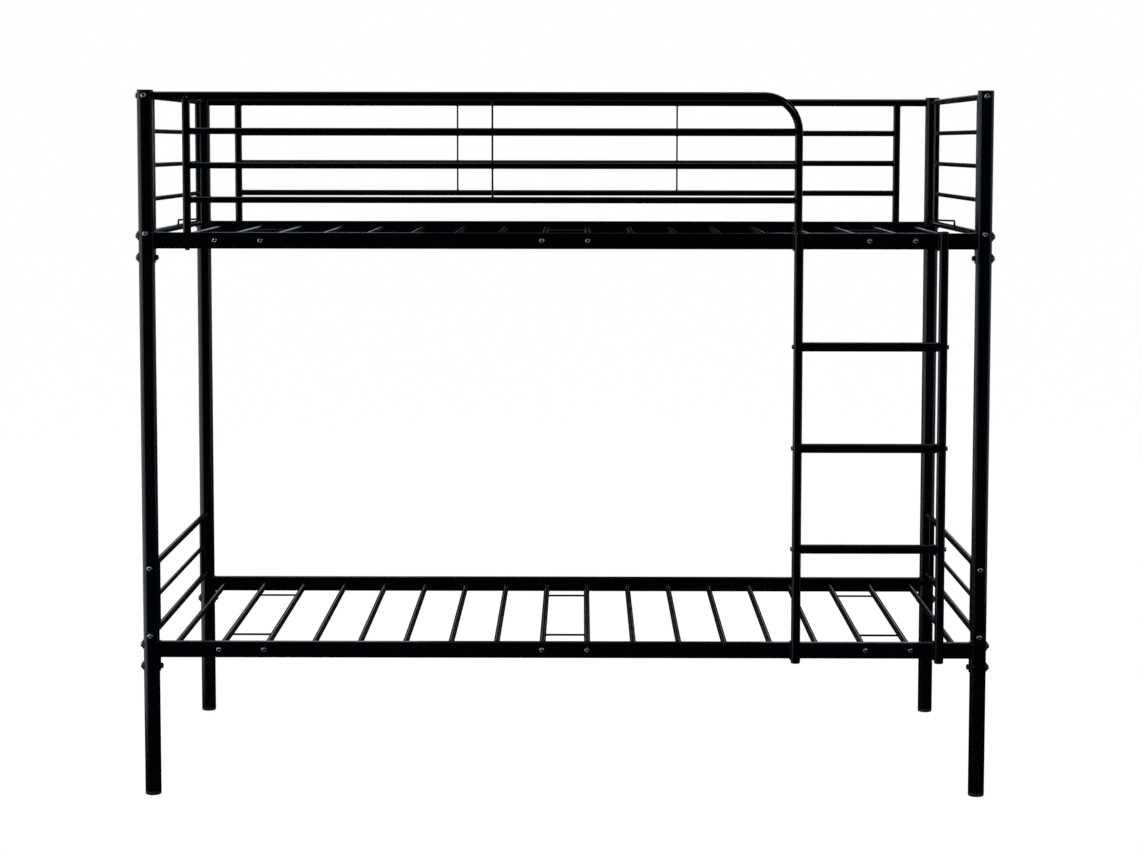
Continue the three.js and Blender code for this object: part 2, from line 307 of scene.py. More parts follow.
@dataclass
class Shape:
    """Points and faces of one closed solid."""

    points: list[Vector]
    faces: list[tuple[int, ...]]

    def placed(self, matrix: Matrix) -> Shape:
        """The same solid somewhere else."""
        return Shape([matrix @ point for point in self.points], self.faces)

    def mesh(self, name: str) -> bpy.types.Mesh:
        """Makes a mesh of the solid, facing outwards and creased where it is sharp.

        Args:
            name: The mesh's name.

        Returns:
            The mesh.
        """
        made = bpy.data.meshes.new(name)
        made.from_pydata(self.points, [], self.faces)
        point_outwards(made)
        return made


def point_outwards(mesh: bpy.types.Mesh) -> None:
    """Turns a closed mesh's faces outwards and shades it smooth between sharp edges.

    Args:
        mesh: The mesh, which is changed in place.
    """
    work = bmesh.new()
    work.from_mesh(mesh)
    bmesh.ops.recalc_face_normals(work, faces=work.faces)
    work.to_mesh(mesh)
    work.free()
    mesh.shade_smooth()
    mesh.set_sharp_from_angle(angle=SHARP_ANGLE)


def into_scene(name: str, data: bpy.types.ID) -> bpy.types.Object:
    """Puts a mesh, a light or a camera into the scene.

    Args:
        name: The object's name.
        data: What it holds.

    Returns:
        The object, at the origin.
    """
    made = bpy.data.objects.new(name, data)
    bpy.context.scene.collection.objects.link(made)
    return made


def arc(
    centre: tuple[float, float], radius: float, start: float, end: float, steps: int
) -> list[tuple[float, float]]:
    """Points along an arc.

    Args:
        centre: The arc's centre.
        radius: Its radius.
        start: The first point's angle in degrees, from the first axis towards the second.
        end: The last point's angle.
        steps: How many chords it has.

    Returns:
        The points, both ends included.
    """
    angles = [math.radians(start + (end - start) * step / steps) for step in range(steps + 1)]
    return [(centre[0] + radius * math.cos(a), centre[1] + radius * math.sin(a)) for a in angles]


def turned(outline: Sequence[tuple[float, float]], sides: int) -> Shape:
    """A solid turned about the Z axis.

    Args:
        outline: Radius and height pairs. Ends off the axis are joined to each other.
        sides: How many sides it has.

    Returns:
        The solid.
    """
    points: list[Vector] = []
    rings: list[list[int]] = []
    for radius, height in outline:
        count = sides if radius > TINY else 1
        rings.append(list(range(len(points), len(points) + count)))
        for i in range(count):
            angle = FULL_TURN * i / sides
            points.append(Vector((radius * math.cos(angle), radius * math.sin(angle), height)))
    if len(rings[0]) > 1 and len(rings[-1]) > 1:
        rings.append(rings[0])
    faces = []
    for low, high in zip(rings, rings[1:]):
        for i in range(sides):
            j = (i + 1) % sides
            corners = [low[i % len(low)], low[j % len(low)], high[j % len(high)], high[i % len(high)]]
            faces.append(tuple(dict.fromkeys(corners)))
    return Shape(points, faces)


def drill(radius: float, low: float, high: float, sides: int) -> Shape:
    """A plain round solid about the Z axis, to cut with."""
    return turned([(0, low), (radius, low), (radius, high), (0, high)], sides)


def ring(reaches: Sequence[float], height: float) -> list[Vector]:
    """A level ring of points round the Z axis.

    Args:
        reaches: Each point's distance from the axis, in equal turns from +X.
        height: The ring's height.

    Returns:
        The points.
    """
    angles = [FULL_TURN * i / len(reaches) for i in range(len(reaches))]
    return [Vector((r * math.cos(a), r * math.sin(a), height)) for r, a in zip(reaches, angles)]


def hexagon(across: float, count: int) -> list[float]:
    """How far a hexagon's edge is from its centre, in equal turns.

    Args:
        across: Its width across flats.
        count: How many turns there are.

    Returns:
        The distance at each turn.
    """
    sixth = FULL_TURN / 6
    angles = (FULL_TURN * i / count for i in range(count))
    return [across / 2 / math.cos(angle % sixth - sixth / 2) for angle in angles]


def lofted(rings: Sequence[Sequence[Vector]]) -> Shape:
    """A solid through rings of points, closed by a flat face at each end.

    Args:
        rings: The rings in order, with equally many points each.

    Returns:
        The solid.
    """
    points = [point for ring in rings for point in ring]
    count = len(rings[0])
    faces: list[tuple[int, ...]] = [tuple(range(count))]
    for row in range(len(rings) - 1):
        start = row * count
        for i in range(count):
            j = (i + 1) % count
            faces.append((start + i, start + j, start + count + j, start + count + i))
    faces.append(tuple(range(len(points) - count, len(points))))
    return Shape(points, faces)


def extruded(outline: Sequence[tuple[float, float]], length: float, chamfer: float) -> Shape:
    """An outline in the YZ plane drawn out along X about the origin.

    Args:
        outline: The (y, z) points of a closed outline, anticlockwise.
        length: How long the solid is.
        chamfer: How far its end faces are drawn in, and how deep.

    Returns:
        The solid.
    """
    count = len(outline)
    inner = []
    for i, (y, z) in enumerate(outline):
        (y0, z0), (y1, z1) = outline[i - 1], outline[(i + 1) % count]
        along = Vector((y1 - y0, z1 - z0)).normalized()
        inner.append((y - along.y * chamfer, z + along.x * chamfer))
    reach = length / 2
    stations = [(-reach, inner), (-reach + chamfer, outline), (reach - chamfer, outline), (reach, inner)]
    return lofted([[Vector((x, y, z)) for y, z in section] for x, section in stations])


def rounded(corners: Sequence[tuple[float, float, float]], steps: int) -> list[tuple[float, float]]:
    """A closed outline with rounded corners.

    Args:
        corners: Each corner's place and the radius that rounds it.
        steps: How many chords each round corner has.

    Returns:
        The outline's points.
    """
    outline: list[tuple[float, float]] = []
    for i, (x, y, radius) in enumerate(corners):
        here = Vector((x, y))
        before = (Vector(corners[i - 1][:2]) - here).normalized()
        after = (Vector(corners[(i + 1) % len(corners)][:2]) - here).normalized()
        half = before.angle(after) / 2
        middle = here + (before + after).normalized() * radius / math.sin(half)
        first = here + before * radius / math.tan(half) - middle
        last = here + after * radius / math.tan(half) - middle
        sweep = first.angle_signed(last) if radius > TINY else 0.0
        for step in range(steps + 1 if radius > TINY else 1):
            spoke = first.copy()
            spoke.rotate(Matrix.Rotation(-sweep * step / steps, 2))
            outline.append(tuple(middle + spoke))
    return outline


@dataclass(frozen=True)
class Bar:
    """A round bar or tube, given by its centre line."""

    route: tuple[Vector, ...]
    diameter: float
    bend: float = 0.0

    @classmethod
    def straight(cls, start: Sequence[float], end: Sequence[float], diameter: float) -> Bar:
        """A straight bar from one point to another."""
        return cls((Vector(start), Vector(end)), diameter)


@dataclass(frozen=True)
class Spot:
    """A place for a small part: its seat, the way that it faces, and a turn about that way."""

    seat: Vector
    facing: Vector
    spin: float = 0.0

    @property
    def matrix(self) -> Matrix:
        """Turns the part's Z axis to the way that it faces, with its Y axis upright."""
        turn = self.facing.to_track_quat("Z", "Y").to_matrix().to_4x4()
        return Matrix.Translation(self.seat) @ turn @ Matrix.Rotation(self.spin, 4, "Z")


class Workpiece:
    """What goes into one welded piece: bars by their centre lines, and ready solids."""

    def __init__(self) -> None:
        """Starts with nothing on the bench."""
        self.points: list[Vector] = []
        self.edges: list[tuple[int, int]] = []
        self.faces: list[tuple[int, ...]] = []
        self.columns: dict[str, list[float]] = {"bar_radius": [], "bend": []}

    def add_bars(self, bars: Iterable[Bar]) -> Workpiece:
        """Adds bars by their centre lines.

        Args:
            bars: The bars.

        Returns:
            The workpiece itself.
        """
        for bar in bars:
            start = len(self.points)
            self.points += bar.route
            self.edges += [(start + i, start + i + 1) for i in range(len(bar.route) - 1)]
            for name, number in (("bar_radius", bar.diameter / 2), ("bend", bar.bend)):
                self.columns[name] += [number] * len(bar.route)
        return self

    def add_solid(self, shape: Shape) -> Workpiece:
        """Adds a ready solid.

        Args:
            shape: The solid.

        Returns:
            The workpiece itself.
        """
        start = len(self.points)
        self.points += shape.points
        self.faces += [tuple(start + i for i in face) for face in shape.faces]
        for numbers in self.columns.values():
            numbers += [0.0] * len(shape.points)
        return self

    def mesh(self, name: str) -> bpy.types.Mesh:
        """Makes one mesh of everything, with the attributes that the welding tree reads.

        Args:
            name: The mesh's name.

        Returns:
            The mesh.
        """
        made = bpy.data.meshes.new(name)
        made.from_pydata(self.points, self.edges, self.faces)
        if self.faces:
            point_outwards(made)
        for column, numbers in self.columns.items():
            made.attributes.new(column, "FLOAT", "POINT").data.foreach_set("value", numbers)
        return made


# ---- Geometry node trees ---------------------------------------------------------------


class WeldingTree(GeometryGraph):
    """Sweeps bars, welds what touches with a bead round each joint, and cuts what has to fit."""

    def __init__(self) -> None:
        """Builds the tree, which takes a workpiece's mesh."""
        super().__init__("welded_piece")
        source = Value(self, self.entry.outputs[0])
        self.sides = self.size("Sides", "Int", 32)
        self.bend_steps = self.size("Bend Steps", "Int", 24)
        self.bead_sides = self.size("Bead Sides", "Int", 8)
        self.bead_radius = self.size("Bead Radius", "Float", 0.0012)
        self.bead_step = self.size("Bead Step", "Float", 0.0012)
        self.ripple = self.size("Bead Ripple", "Float", 0.16)
        self.pitch = self.size("Ripple Pitch", "Float", 0.0042)
        self.sharp = self.size("Sharp Angle", "Float", SHARP_ANGLE)
        cutter = self.size("Cutter", "Object")
        finish = self.size("Finish", "Material")
        union = self._union(self._parts(source))
        beads = self._beads(union)
        tool = self.node("GeometryNodeObjectInfo", None, {"Object": cutter})["Geometry"]
        cut = self.node(
            "GeometryNodeMeshBoolean",
            {"operation": "DIFFERENCE", "solver": "EXACT"},
            {"Mesh 1": union["Mesh"], "Mesh 2": tool},
        )["Mesh"]
        whole = self.node("GeometryNodeJoinGeometry", None, {0: [cut, beads]})[0]
        self.close(self._shaded(whole), finish)

    def _swept(self, lines: Value, sides: Value, radius: Value) -> Value:
        """Sweeps lines into closed round bars.

        Args:
            lines: The centre lines.
            sides: How many sides a bar has.
            radius: A bar's radius.

        Returns:
            The bars.
        """
        values = {"Resolution": sides, "Radius": 1.0}
        section = self.node("GeometryNodeCurvePrimitiveCircle", None, values)[0]
        values = {"Curve": lines, "Profile Curve": section, "Scale": radius, "Fill Caps": True}
        return self.node("GeometryNodeCurveToMesh", None, values)[0]

    def _parts(self, source: Value) -> Value:
        """Makes bars of a workpiece's loose edges and puts its ready solids with them.

        Args:
            source: The workpiece's mesh.

        Returns:
            All the parts, not welded yet.
        """
        faces_at_edge = self.node("GeometryNodeInputMeshEdgeNeighbors")[0]
        loose = self.maths("LESS_THAN", faces_at_edge, 1.0)
        lines = self.node("GeometryNodeMeshToCurve", None, {"Mesh": source, "Selection": loose})[0]
        values = {"Curve": lines, "Count": self.bend_steps, "Radius": self.attribute("bend")}
        bent = self.node("GeometryNodeFilletCurve", {"mode": "POLY"}, values)[0]
        bars = self._swept(bent, self.sides, self.attribute("bar_radius"))
        solids = self.node(
            "GeometryNodeDeleteGeometry",
            {"domain": "EDGE", "mode": "ALL"},
            {"Geometry": source, "Selection": loose},
        )[0]
        return self.node("GeometryNodeJoinGeometry", None, {0: [bars, solids]})[0]

    def _union(self, parts: Value) -> Outputs:
        """Welds the parts into one solid wherever they touch.

        Args:
            parts: The parts.

        Returns:
            The union's mesh and the edges where parts met.
        """
        values = {0: parts, "Group ID": self.node("GeometryNodeInputMeshIsland")["Island Index"]}
        apart = self.node("GeometryNodeSplitToInstances", {"domain": "FACE"}, values)[0]
        settings = {"operation": "UNION", "solver": "EXACT"}
        return self.node("GeometryNodeMeshBoolean", settings, {"Mesh 2": apart})

    def _beads(self, union: Outputs) -> Value:
        """Runs a rippled bead round every joint.

        Args:
            union: The welded parts.

        Returns:
            The beads.
        """
        values = {0: union["Mesh"], "Selection": union["Intersecting Edges"]}
        joints = self.node("GeometryNodeSeparateGeometry", {"domain": "EDGE"}, values)[0]
        seams = self.node("GeometryNodeMeshToCurve", None, {"Mesh": joints})[0]
        values = {"Curve": seams, "Length": self.bead_step}
        runs = self.node("GeometryNodeResampleCurve", {"mode": "LENGTH"}, values)[0]
        travelled = self.node("GeometryNodeSplineParameter")["Length"]
        wave = self.maths("SINE", travelled / self.pitch * FULL_TURN)
        return self._swept(runs, self.bead_sides, self.bead_radius * (1.0 + self.ripple * wave))

    def _shaded(self, geometry: Value) -> Value:
        """Shades a mesh smooth between its sharp edges.

        Args:
            geometry: The mesh.

        Returns:
            The shaded mesh.
        """
        soft = self.node("GeometryNodeSetShadeSmooth", {"domain": "FACE"}, {0: geometry})[0]
        angle = self.node("GeometryNodeInputMeshEdgeAngle")["Unsigned Angle"]
        sharp = self.maths("GREATER_THAN", angle, self.sharp)
        values = {0: soft, "Selection": sharp, "Shade Smooth": False}
        return self.node("GeometryNodeSetShadeSmooth", {"domain": "EDGE"}, values)[0]


class PlacingTree(GeometryGraph):
    """Puts a copy of one part on every spot."""

    def __init__(self) -> None:
        """Builds the tree, which takes a mesh of loose points with a turn each."""
        super().__init__("placed_parts")
        spots = Value(self, self.entry.outputs[0])
        part = self.size("Part", "Object")
        finish = self.size("Finish", "Material")
        shape = self.node("GeometryNodeObjectInfo", None, {"Object": part})["Geometry"]
        angles = self.attribute("turn", "FLOAT_VECTOR")
        turn = self.node("FunctionNodeEulerToRotation", None, {0: angles})[0]
        values = {"Points": spots, "Instance": shape, "Rotation": turn}
        self.close(self.node("GeometryNodeInstanceOnPoints", None, values)[0], finish)


@dataclass
class Workshop:
    """Makes pieces: holds the trees, the finishes and the way that a piece is handed over."""

    finishes: dict[Slot, bpy.types.Material]
    welding: WeldingTree = field(default_factory=WeldingTree)
    placing: PlacingTree = field(default_factory=PlacingTree)

    @staticmethod
    def _grow(
        name: str, graph: GeometryGraph, mesh: bpy.types.Mesh, values: Mapping[str, object]
    ) -> bpy.types.Mesh:
        """Runs a tree on a mesh and keeps what comes out as a plain mesh.

        Args:
            name: The new mesh's name.
            graph: The tree.
            mesh: What it runs on.
            values: What its named inputs hold.

        Returns:
            The new mesh.
        """
        holder = into_scene(f"{name}_source", mesh)
        modifier = holder.modifiers.new("shape", "NODES")
        modifier.node_group = graph.tree
        identifiers = graph.identifiers
        for key, value in values.items():
            modifier[identifiers[key]] = value
        evaluated = bpy.context.evaluated_depsgraph_get()
        made = bpy.data.meshes.new_from_object(holder.evaluated_get(evaluated), depsgraph=evaluated)
        made.name = name
        bpy.data.objects.remove(holder)
        for column in ("bar_radius", "bend", "turn"):
            if column in made.attributes:
                made.attributes.remove(made.attributes[column])
        return made

    def weld(
        self, name: str, bench: Workpiece, cuts: Sequence[Shape] = (), **sizes: float
    ) -> bpy.types.Mesh:
        """Welds a workpiece of coated steel.

        Args:
            name: The mesh's name.
            bench: What is welded.
            cuts: Solids that are cut out of it afterwards.
            **sizes: The welding tree's sizes, by name with underscores for spaces.

        Returns:
            The welded mesh.
        """
        values: dict[str, object] = {key.replace("_", " "): size for key, size in sizes.items()}
        values["Finish"] = self.finishes[Slot.COAT]
        if cuts:
            solids = Workpiece()
            for shape in cuts:
                solids.add_solid(shape)
            values["Cutter"] = into_scene(f"{name}_cutter", solids.mesh(f"{name}_cutter"))
        made = self._grow(name, self.welding, bench.mesh(f"{name}_bench"), values)
        if cuts:
            bpy.data.objects.remove(values["Cutter"])
        return made

    def repeat(
        self, name: str, part: bpy.types.Mesh, spots: Sequence[Spot], slot: Slot
    ) -> bpy.types.Mesh:
        """Puts a copy of one part on every spot.

        Args:
            name: The mesh's name.
            part: The part, seated at the origin and facing up.
            spots: Where the copies go.
            slot: Their finish.

        Returns:
            One mesh of all the copies.
        """
        points = bpy.data.meshes.new(f"{name}_spots")
        points.from_pydata([spot.seat for spot in spots], [], [])
        turns = [angle for spot in spots for angle in spot.matrix.to_euler()]
        points.attributes.new("turn", "FLOAT_VECTOR", "POINT").data.foreach_set("vector", turns)
        model = into_scene(f"{name}_model", part)
        made = self._grow(name, self.placing, points, {"Part": model, "Finish": self.finishes[slot]})
        bpy.data.objects.remove(model)
        return made

    def hand_over(
        self, mesh: bpy.types.Mesh, slot: Slot, nodes: Sequence[str] = ()
    ) -> bpy.types.Object:
        """Makes a mesh a piece of the bed.

        Args:
            mesh: The finished mesh, named as the piece.
            slot: The record's slot for its finish.
            nodes: The frame's nodes that it stands for.

        Returns:
            The piece.
        """
        if not mesh.materials:
            mesh.materials.append(self.finishes[slot])
        piece = into_scene(mesh.name, mesh)
        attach(piece, BODY)
        if nodes:
            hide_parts(*nodes)
        LOG.info("%-24s %6d faces, for %d nodes", mesh.name, len(mesh.polygons), len(nodes))
        return piece


# ---- Where things are ------------------------------------------------------------------


@dataclass(frozen=True)
class BedPlan:
    """The places that the bed's pieces share, read from the frame."""

    posts: dict[tuple[Row, Side], Vector]
    post_radius: float
    tube_span: tuple[float, float]
    rail_tops: dict[Bunk, float]
    upright_inset: float = 0.095  # an upright's axis from its post's axis
    bar_rises: tuple[float, ...] = (0.076, 0.156, 0.236)  # level bars above the upper rails
    drill_sides: int = 96
    drill_reach: float = 0.05  # past a post's ends

    @classmethod
    def from_frame(cls) -> BedPlan:
        """Measures the frame's posts and rails.

        Returns:
            The plan.
        """
        posts = {}
        for row in Row:
            for side in Side:
                place = middle(f"post_{row.value}_{side.value}")
                posts[row, side] = Vector((place.x, place.y, 0))
        low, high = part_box("post_front_left")
        tops = {bunk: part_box(f"{bunk.value}_front_rail")[1].z for bunk in Bunk}
        return cls(posts, (high.x - low.x) / 2, (low.z, high.z), tops)

    def post_space(self, row: Row, side: Side, clearance: float) -> Shape:
        """A tall round solid that fills a post and some clearance round it.

        Args:
            row: The post's row.
            side: The post's side.
            clearance: How far it reaches past the tube.

        Returns:
            The solid.
        """
        height = self.tube_span[1] + self.drill_reach
        space = drill(self.post_radius + clearance, -self.drill_reach, height, self.drill_sides)
        return space.placed(Matrix.Translation(self.posts[row, side]))


def middle(node: str) -> Vector:
    """The middle of a frame node's box."""
    low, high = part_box(node)
    return (low + high) / 2


# ---- Posts -----------------------------------------------------------------------------


@dataclass
class Posts:
    """The four round posts, with the plastic caps and feet that close them."""

    shop: Workshop
    plan: BedPlan
    wall: float = 0.0015
    sides: int = 72
    lip: float = 0.0005  # rounding of the tubes' cut ends
    seam: float = 0.0001  # between a tube's end and the plastic on it
    plug_play: float = 0.0002  # between a plug and the tube's bore
    plug_taper: float = 0.0008
    taper_length: float = 0.004
    cap_edge: float = 0.0012
    cap_turn: float = 80.0  # degrees, to where the crown starts
    cap_steps: int = 6
    crown: float = 0.0004
    crown_shares: tuple[float, ...] = (0.8, 0.55, 0.3)  # of the radius
    foot_edge: float = 0.0032
    foot_steps: int = 8
    hollow: float = 0.0004  # under a foot
    hollow_shares: tuple[float, float] = (0.45, 0.55)  # of the radius

    @property
    def plug(self) -> float:
        """A plug's radius."""
        return self.plan.post_radius - self.wall - self.plug_play

    def build(self) -> None:
        """Makes the tubes, the caps and the feet."""
        for (row, side), place in self.plan.posts.items():
            name = f"post_tube_{row.value}_{side.value}"
            tube = self._tube().placed(Matrix.Translation(place)).mesh(name)
            self.shop.hand_over(tube, Slot.COAT, [f"post_{row.value}_{side.value}"])
        spots = [Spot(place, UP) for place in self.plan.posts.values()]
        kinds = {"cap": ("post_caps", self._cap()), "foot": ("post_feet", self._foot())}
        for kind, (name, shape) in kinds.items():
            mesh = self.shop.repeat(name, shape.mesh(f"{name}_model"), spots, Slot.PLASTIC)
            nodes = [f"post_{kind}_{row.value}_{side.value}" for row, side in self.plan.posts]
            self.shop.hand_over(mesh, Slot.PLASTIC, nodes)

    def _tube(self) -> Shape:
        """A tube with slightly rounded ends.

        Returns:
            The tube.
        """
        low, high = self.plan.tube_span
        outer, lip = self.plan.post_radius, self.lip
        inner = outer - self.wall
        ends = [(outer - lip, low), (outer, low + lip), (outer, high - lip), (outer - lip, high)]
        return turned([(inner, low), *ends, (inner, high)], self.sides)

    def _cap(self) -> Shape:
        """A push-in cap with a rounded rim, a shallow crown and a tapered plug.

        Returns:
            The cap.
        """
        low, high = (corner.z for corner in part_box("post_cap_front_left"))
        seat = self.plan.tube_span[1] + self.seam
        rim, edge, plug, crown = self.plan.post_radius, self.cap_edge, self.plug, self.crown
        outline = [(0, low), (plug - self.plug_taper, low), (plug, low + self.taper_length)]
        outline += [(plug, seat), (rim, seat)]
        outline += arc((rim - edge, high - edge - crown), edge, 0, self.cap_turn, self.cap_steps)
        outline += [(rim * share, high - crown * share * share) for share in self.crown_shares]
        return turned([*outline, (0, high)], self.sides)

    def _foot(self) -> Shape:
        """A push-in foot whose lower edge is rounded.

        Returns:
            The foot.
        """
        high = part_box("post_foot_front_left")[1].z
        seat = self.plan.tube_span[0] - self.seam
        rim, edge, plug = self.plan.post_radius, self.foot_edge, self.plug
        inside, outside = self.hollow_shares
        outline = [(0, self.hollow), (rim * inside, self.hollow), (rim * outside, 0)]
        outline += arc((rim - edge, edge), edge, -90, 0, self.foot_steps)
        outline += [(rim, seat), (plug, seat), (plug, high - self.taper_length)]
        return turned([*outline, (plug - self.plug_taper, high), (0, high)], self.sides)


# ---- Side rails ------------------------------------------------------------------------


@dataclass
class SideRails:
    """The four side rails: rectangular tubes with a saddle plate welded to each end."""

    shop: Workshop
    plan: BedPlan
    height: float = 0.038
    thickness: float = 0.020
    corner: float = 0.003
    corner_steps: int = 6
    plate: float = 0.0025
    plate_play: float = 0.00015  # between a saddle and its post
    plate_spread: float = 55.0  # degrees each side of the rail's axis
    plate_steps: int = 40
    plate_drop: float = 0.033  # below the rail
    plate_corner: float = 0.007
    plate_chamfer: float = 0.0005
    hole_play: float = 0.0004  # round a slat's end
    hole_depth: float = 0.0095
    hole_start: float = 0.002  # outside the rail's face
    hole_sides: int = 32
    bead: float = 0.0015

    def build(self) -> None:
        """Makes the four rails."""
        for bunk in Bunk:
            for row in Row:
                self._rail(bunk, row)

    def axis_y(self, row: Row) -> float:
        """The rail's centre line, in line with its posts."""
        return self.plan.posts[row, Side.LEFT].y

    def _saddle(self, inward: float) -> Shape:
        """A saddle plate round the Z axis, from the rail's top down.

        Args:
            inward: The way from the post to the rail, 1 along +X and -1 along -X.

        Returns:
            The plate.
        """
        inner = self.plan.post_radius + self.plate_play
        outer, chamfer = inner + self.plate, self.plate_chamfer
        spread = math.radians(self.plate_spread)
        sections = []
        for step in range(self.plate_steps + 1):
            angle = spread * (2 * step / self.plate_steps - 1)
            past = max((abs(angle) - spread) * outer + self.plate_corner, 0.0)
            lift = self.plate_corner - math.sqrt(max(self.plate_corner**2 - past**2, 0.0))
            bottom, top = -self.height - self.plate_drop + lift, -chamfer
            section = [
                (inner, bottom + chamfer), (inner + chamfer, bottom), (outer - chamfer, bottom),
                (outer, bottom + chamfer), (outer, top - chamfer), (outer - chamfer, top),
                (inner + chamfer, top), (inner, top - chamfer),
            ]
            along, across = inward * math.cos(angle), math.sin(angle)
            sections.append([Vector((reach * along, reach * across, z)) for reach, z in section])
        return lofted(sections)

    def _rail(self, bunk: Bunk, row: Row) -> None:
        """Makes one rail.

        Args:
            bunk: The rail's bunk.
            row: The rail's row.
        """
        top, y = self.plan.rail_tops[bunk], self.axis_y(row)
        left, right = (self.plan.posts[row, side].x for side in Side)
        w, h, r = self.thickness / 2, self.height / 2, self.corner
        outline = rounded([(-w, -h, r), (w, -h, r), (w, h, r), (-w, h, r)], self.corner_steps)
        tube = extruded(outline, right - left, 0.0)
        bench = Workpiece()
        bench.add_solid(tube.placed(Matrix.Translation(((left + right) / 2, y, top - h))))
        for x, inward in ((left, 1.0), (right, -1.0)):
            bench.add_solid(self._saddle(inward).placed(Matrix.Translation((x, y, top))))
        cuts = [self.plan.post_space(row, side, self.plate_play) for side in Side]
        cuts += [self._hole(spot) for spot in slat_ends(bunk, row, y, w)]
        name = f"side_rail_{bunk.value}_{row.value}"
        mesh = self.shop.weld(name, bench, cuts, Bead_Radius=self.bead)
        self.shop.hand_over(mesh, Slot.COAT, [f"{bunk.value}_{row.value}_rail"])

    def _hole(self, spot: Spot) -> Shape:
        """The hole that takes a loose slat's end.

        Args:
            spot: Where the slat enters the rail.

        Returns:
            A solid to cut with.
        """
        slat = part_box("upper_slat_01")[1].x - middle("upper_slat_01").x
        hole = drill(slat + self.hole_play, -self.hole_depth, self.hole_start, self.hole_sides)
        return hole.placed(spot.matrix)


def slat_nodes(bunk: Bunk, paired: bool) -> list[str]:
    """The frame's nodes for a bunk's slats, in order.

    Args:
        bunk: The bunk.
        paired: Whether its bolted pairs are meant, or its loose slats.

    Returns:
        The nodes' names.
    """
    start = f"{bunk.value}_slat_"
    names = [name for name in sorted(bpy.data.objects.keys()) if name.startswith(start)]
    return [name for name in names if ("pair" in name) == paired]


def slat_ends(bunk: Bunk, row: Row, rail_y: float, half_thickness: float) -> list[Spot]:
    """Where loose slats enter a rail's inner face.

    Args:
        bunk: The rail's bunk.
        row: The rail's row.
        rail_y: The rail's centre line.
        half_thickness: Half of its thickness.

    Returns:
        A spot for each slat, facing the middle of the bed.
    """
    inward = -row.outward
    face = rail_y + inward.y * half_thickness
    places = [middle(name) for name in slat_nodes(bunk, paired=False)]
    return [Spot(Vector((place.x, face, place.z)), inward) for place in places]


# ---- Slats -----------------------------------------------------------------------------


@dataclass
class Slats:
    """A bunk's round slats: loose ones in the rails' holes, and pairs that are bolted in."""

    shop: Workshop
    plan: BedPlan
    sides: int = 40
    end_round: float = 0.0006
    wire: float = 0.005
    wire_inset: float = 0.282  # from the bed's long centre line
    bead: float = 0.0009
    bead_step: float = 0.0008

    def build(self) -> None:
        """Makes both bunks' slats."""
        for bunk in Bunk:
            self._loose(bunk)
            self._pairs(bunk)

    def _loose(self, bunk: Bunk) -> None:
        """Makes the loose slats of a bunk from one model.

        Args:
            bunk: The bunk.
        """
        nodes = slat_nodes(bunk, paired=False)
        low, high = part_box(nodes[0])
        radius, reach, lip = (high.x - low.x) / 2, (high.y - low.y) / 2, self.end_round
        half = [(radius, reach - lip), (radius - lip, reach), (0, reach)]
        outline = [(across, -along) for across, along in reversed(half)] + half
        name = f"loose_slats_{bunk.value}"
        model = turned(outline, self.sides).mesh(f"{name}_model")
        spots = [Spot(middle(node), Row.REAR.outward) for node in nodes]
        mesh = self.shop.repeat(name, model, spots, Slot.COAT)
        self.shop.hand_over(mesh, Slot.COAT, nodes)

    def _pairs(self, bunk: Bunk) -> None:
        """Makes the bolted pairs of a bunk from one welded model.

        Args:
            bunk: The bunk.
        """
        nodes = slat_nodes(bunk, paired=True)
        low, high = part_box(nodes[0])
        radius, reach = (high.z - low.z) / 2, (high.y - low.y) / 2
        apart = (high.x - low.x) / 2 - radius
        front, rear = (self.plan.posts[row, Side.LEFT].y for row in Row)
        centre = (front + rear) / 2 - middle(nodes[0]).y
        bars = [Bar.straight((x, -reach, 0), (x, reach, 0), 2 * radius) for x in (-apart, apart)]
        for y in (centre - self.wire_inset, centre + self.wire_inset):
            bars.append(Bar.straight((-apart, y, 0), (apart, y, 0), self.wire))
        name = f"slat_pairs_{bunk.value}"
        bench = Workpiece().add_bars(bars)
        model = self.shop.weld(
            f"{name}_model", bench, Bead_Radius=self.bead, Bead_Step=self.bead_step
        )
        spots = [Spot(middle(node), UP) for node in nodes]
        mesh = self.shop.repeat(name, model, spots, Slot.COAT)
        self.shop.hand_over(mesh, Slot.COAT, nodes)


# ---- End frames ------------------------------------------------------------------------


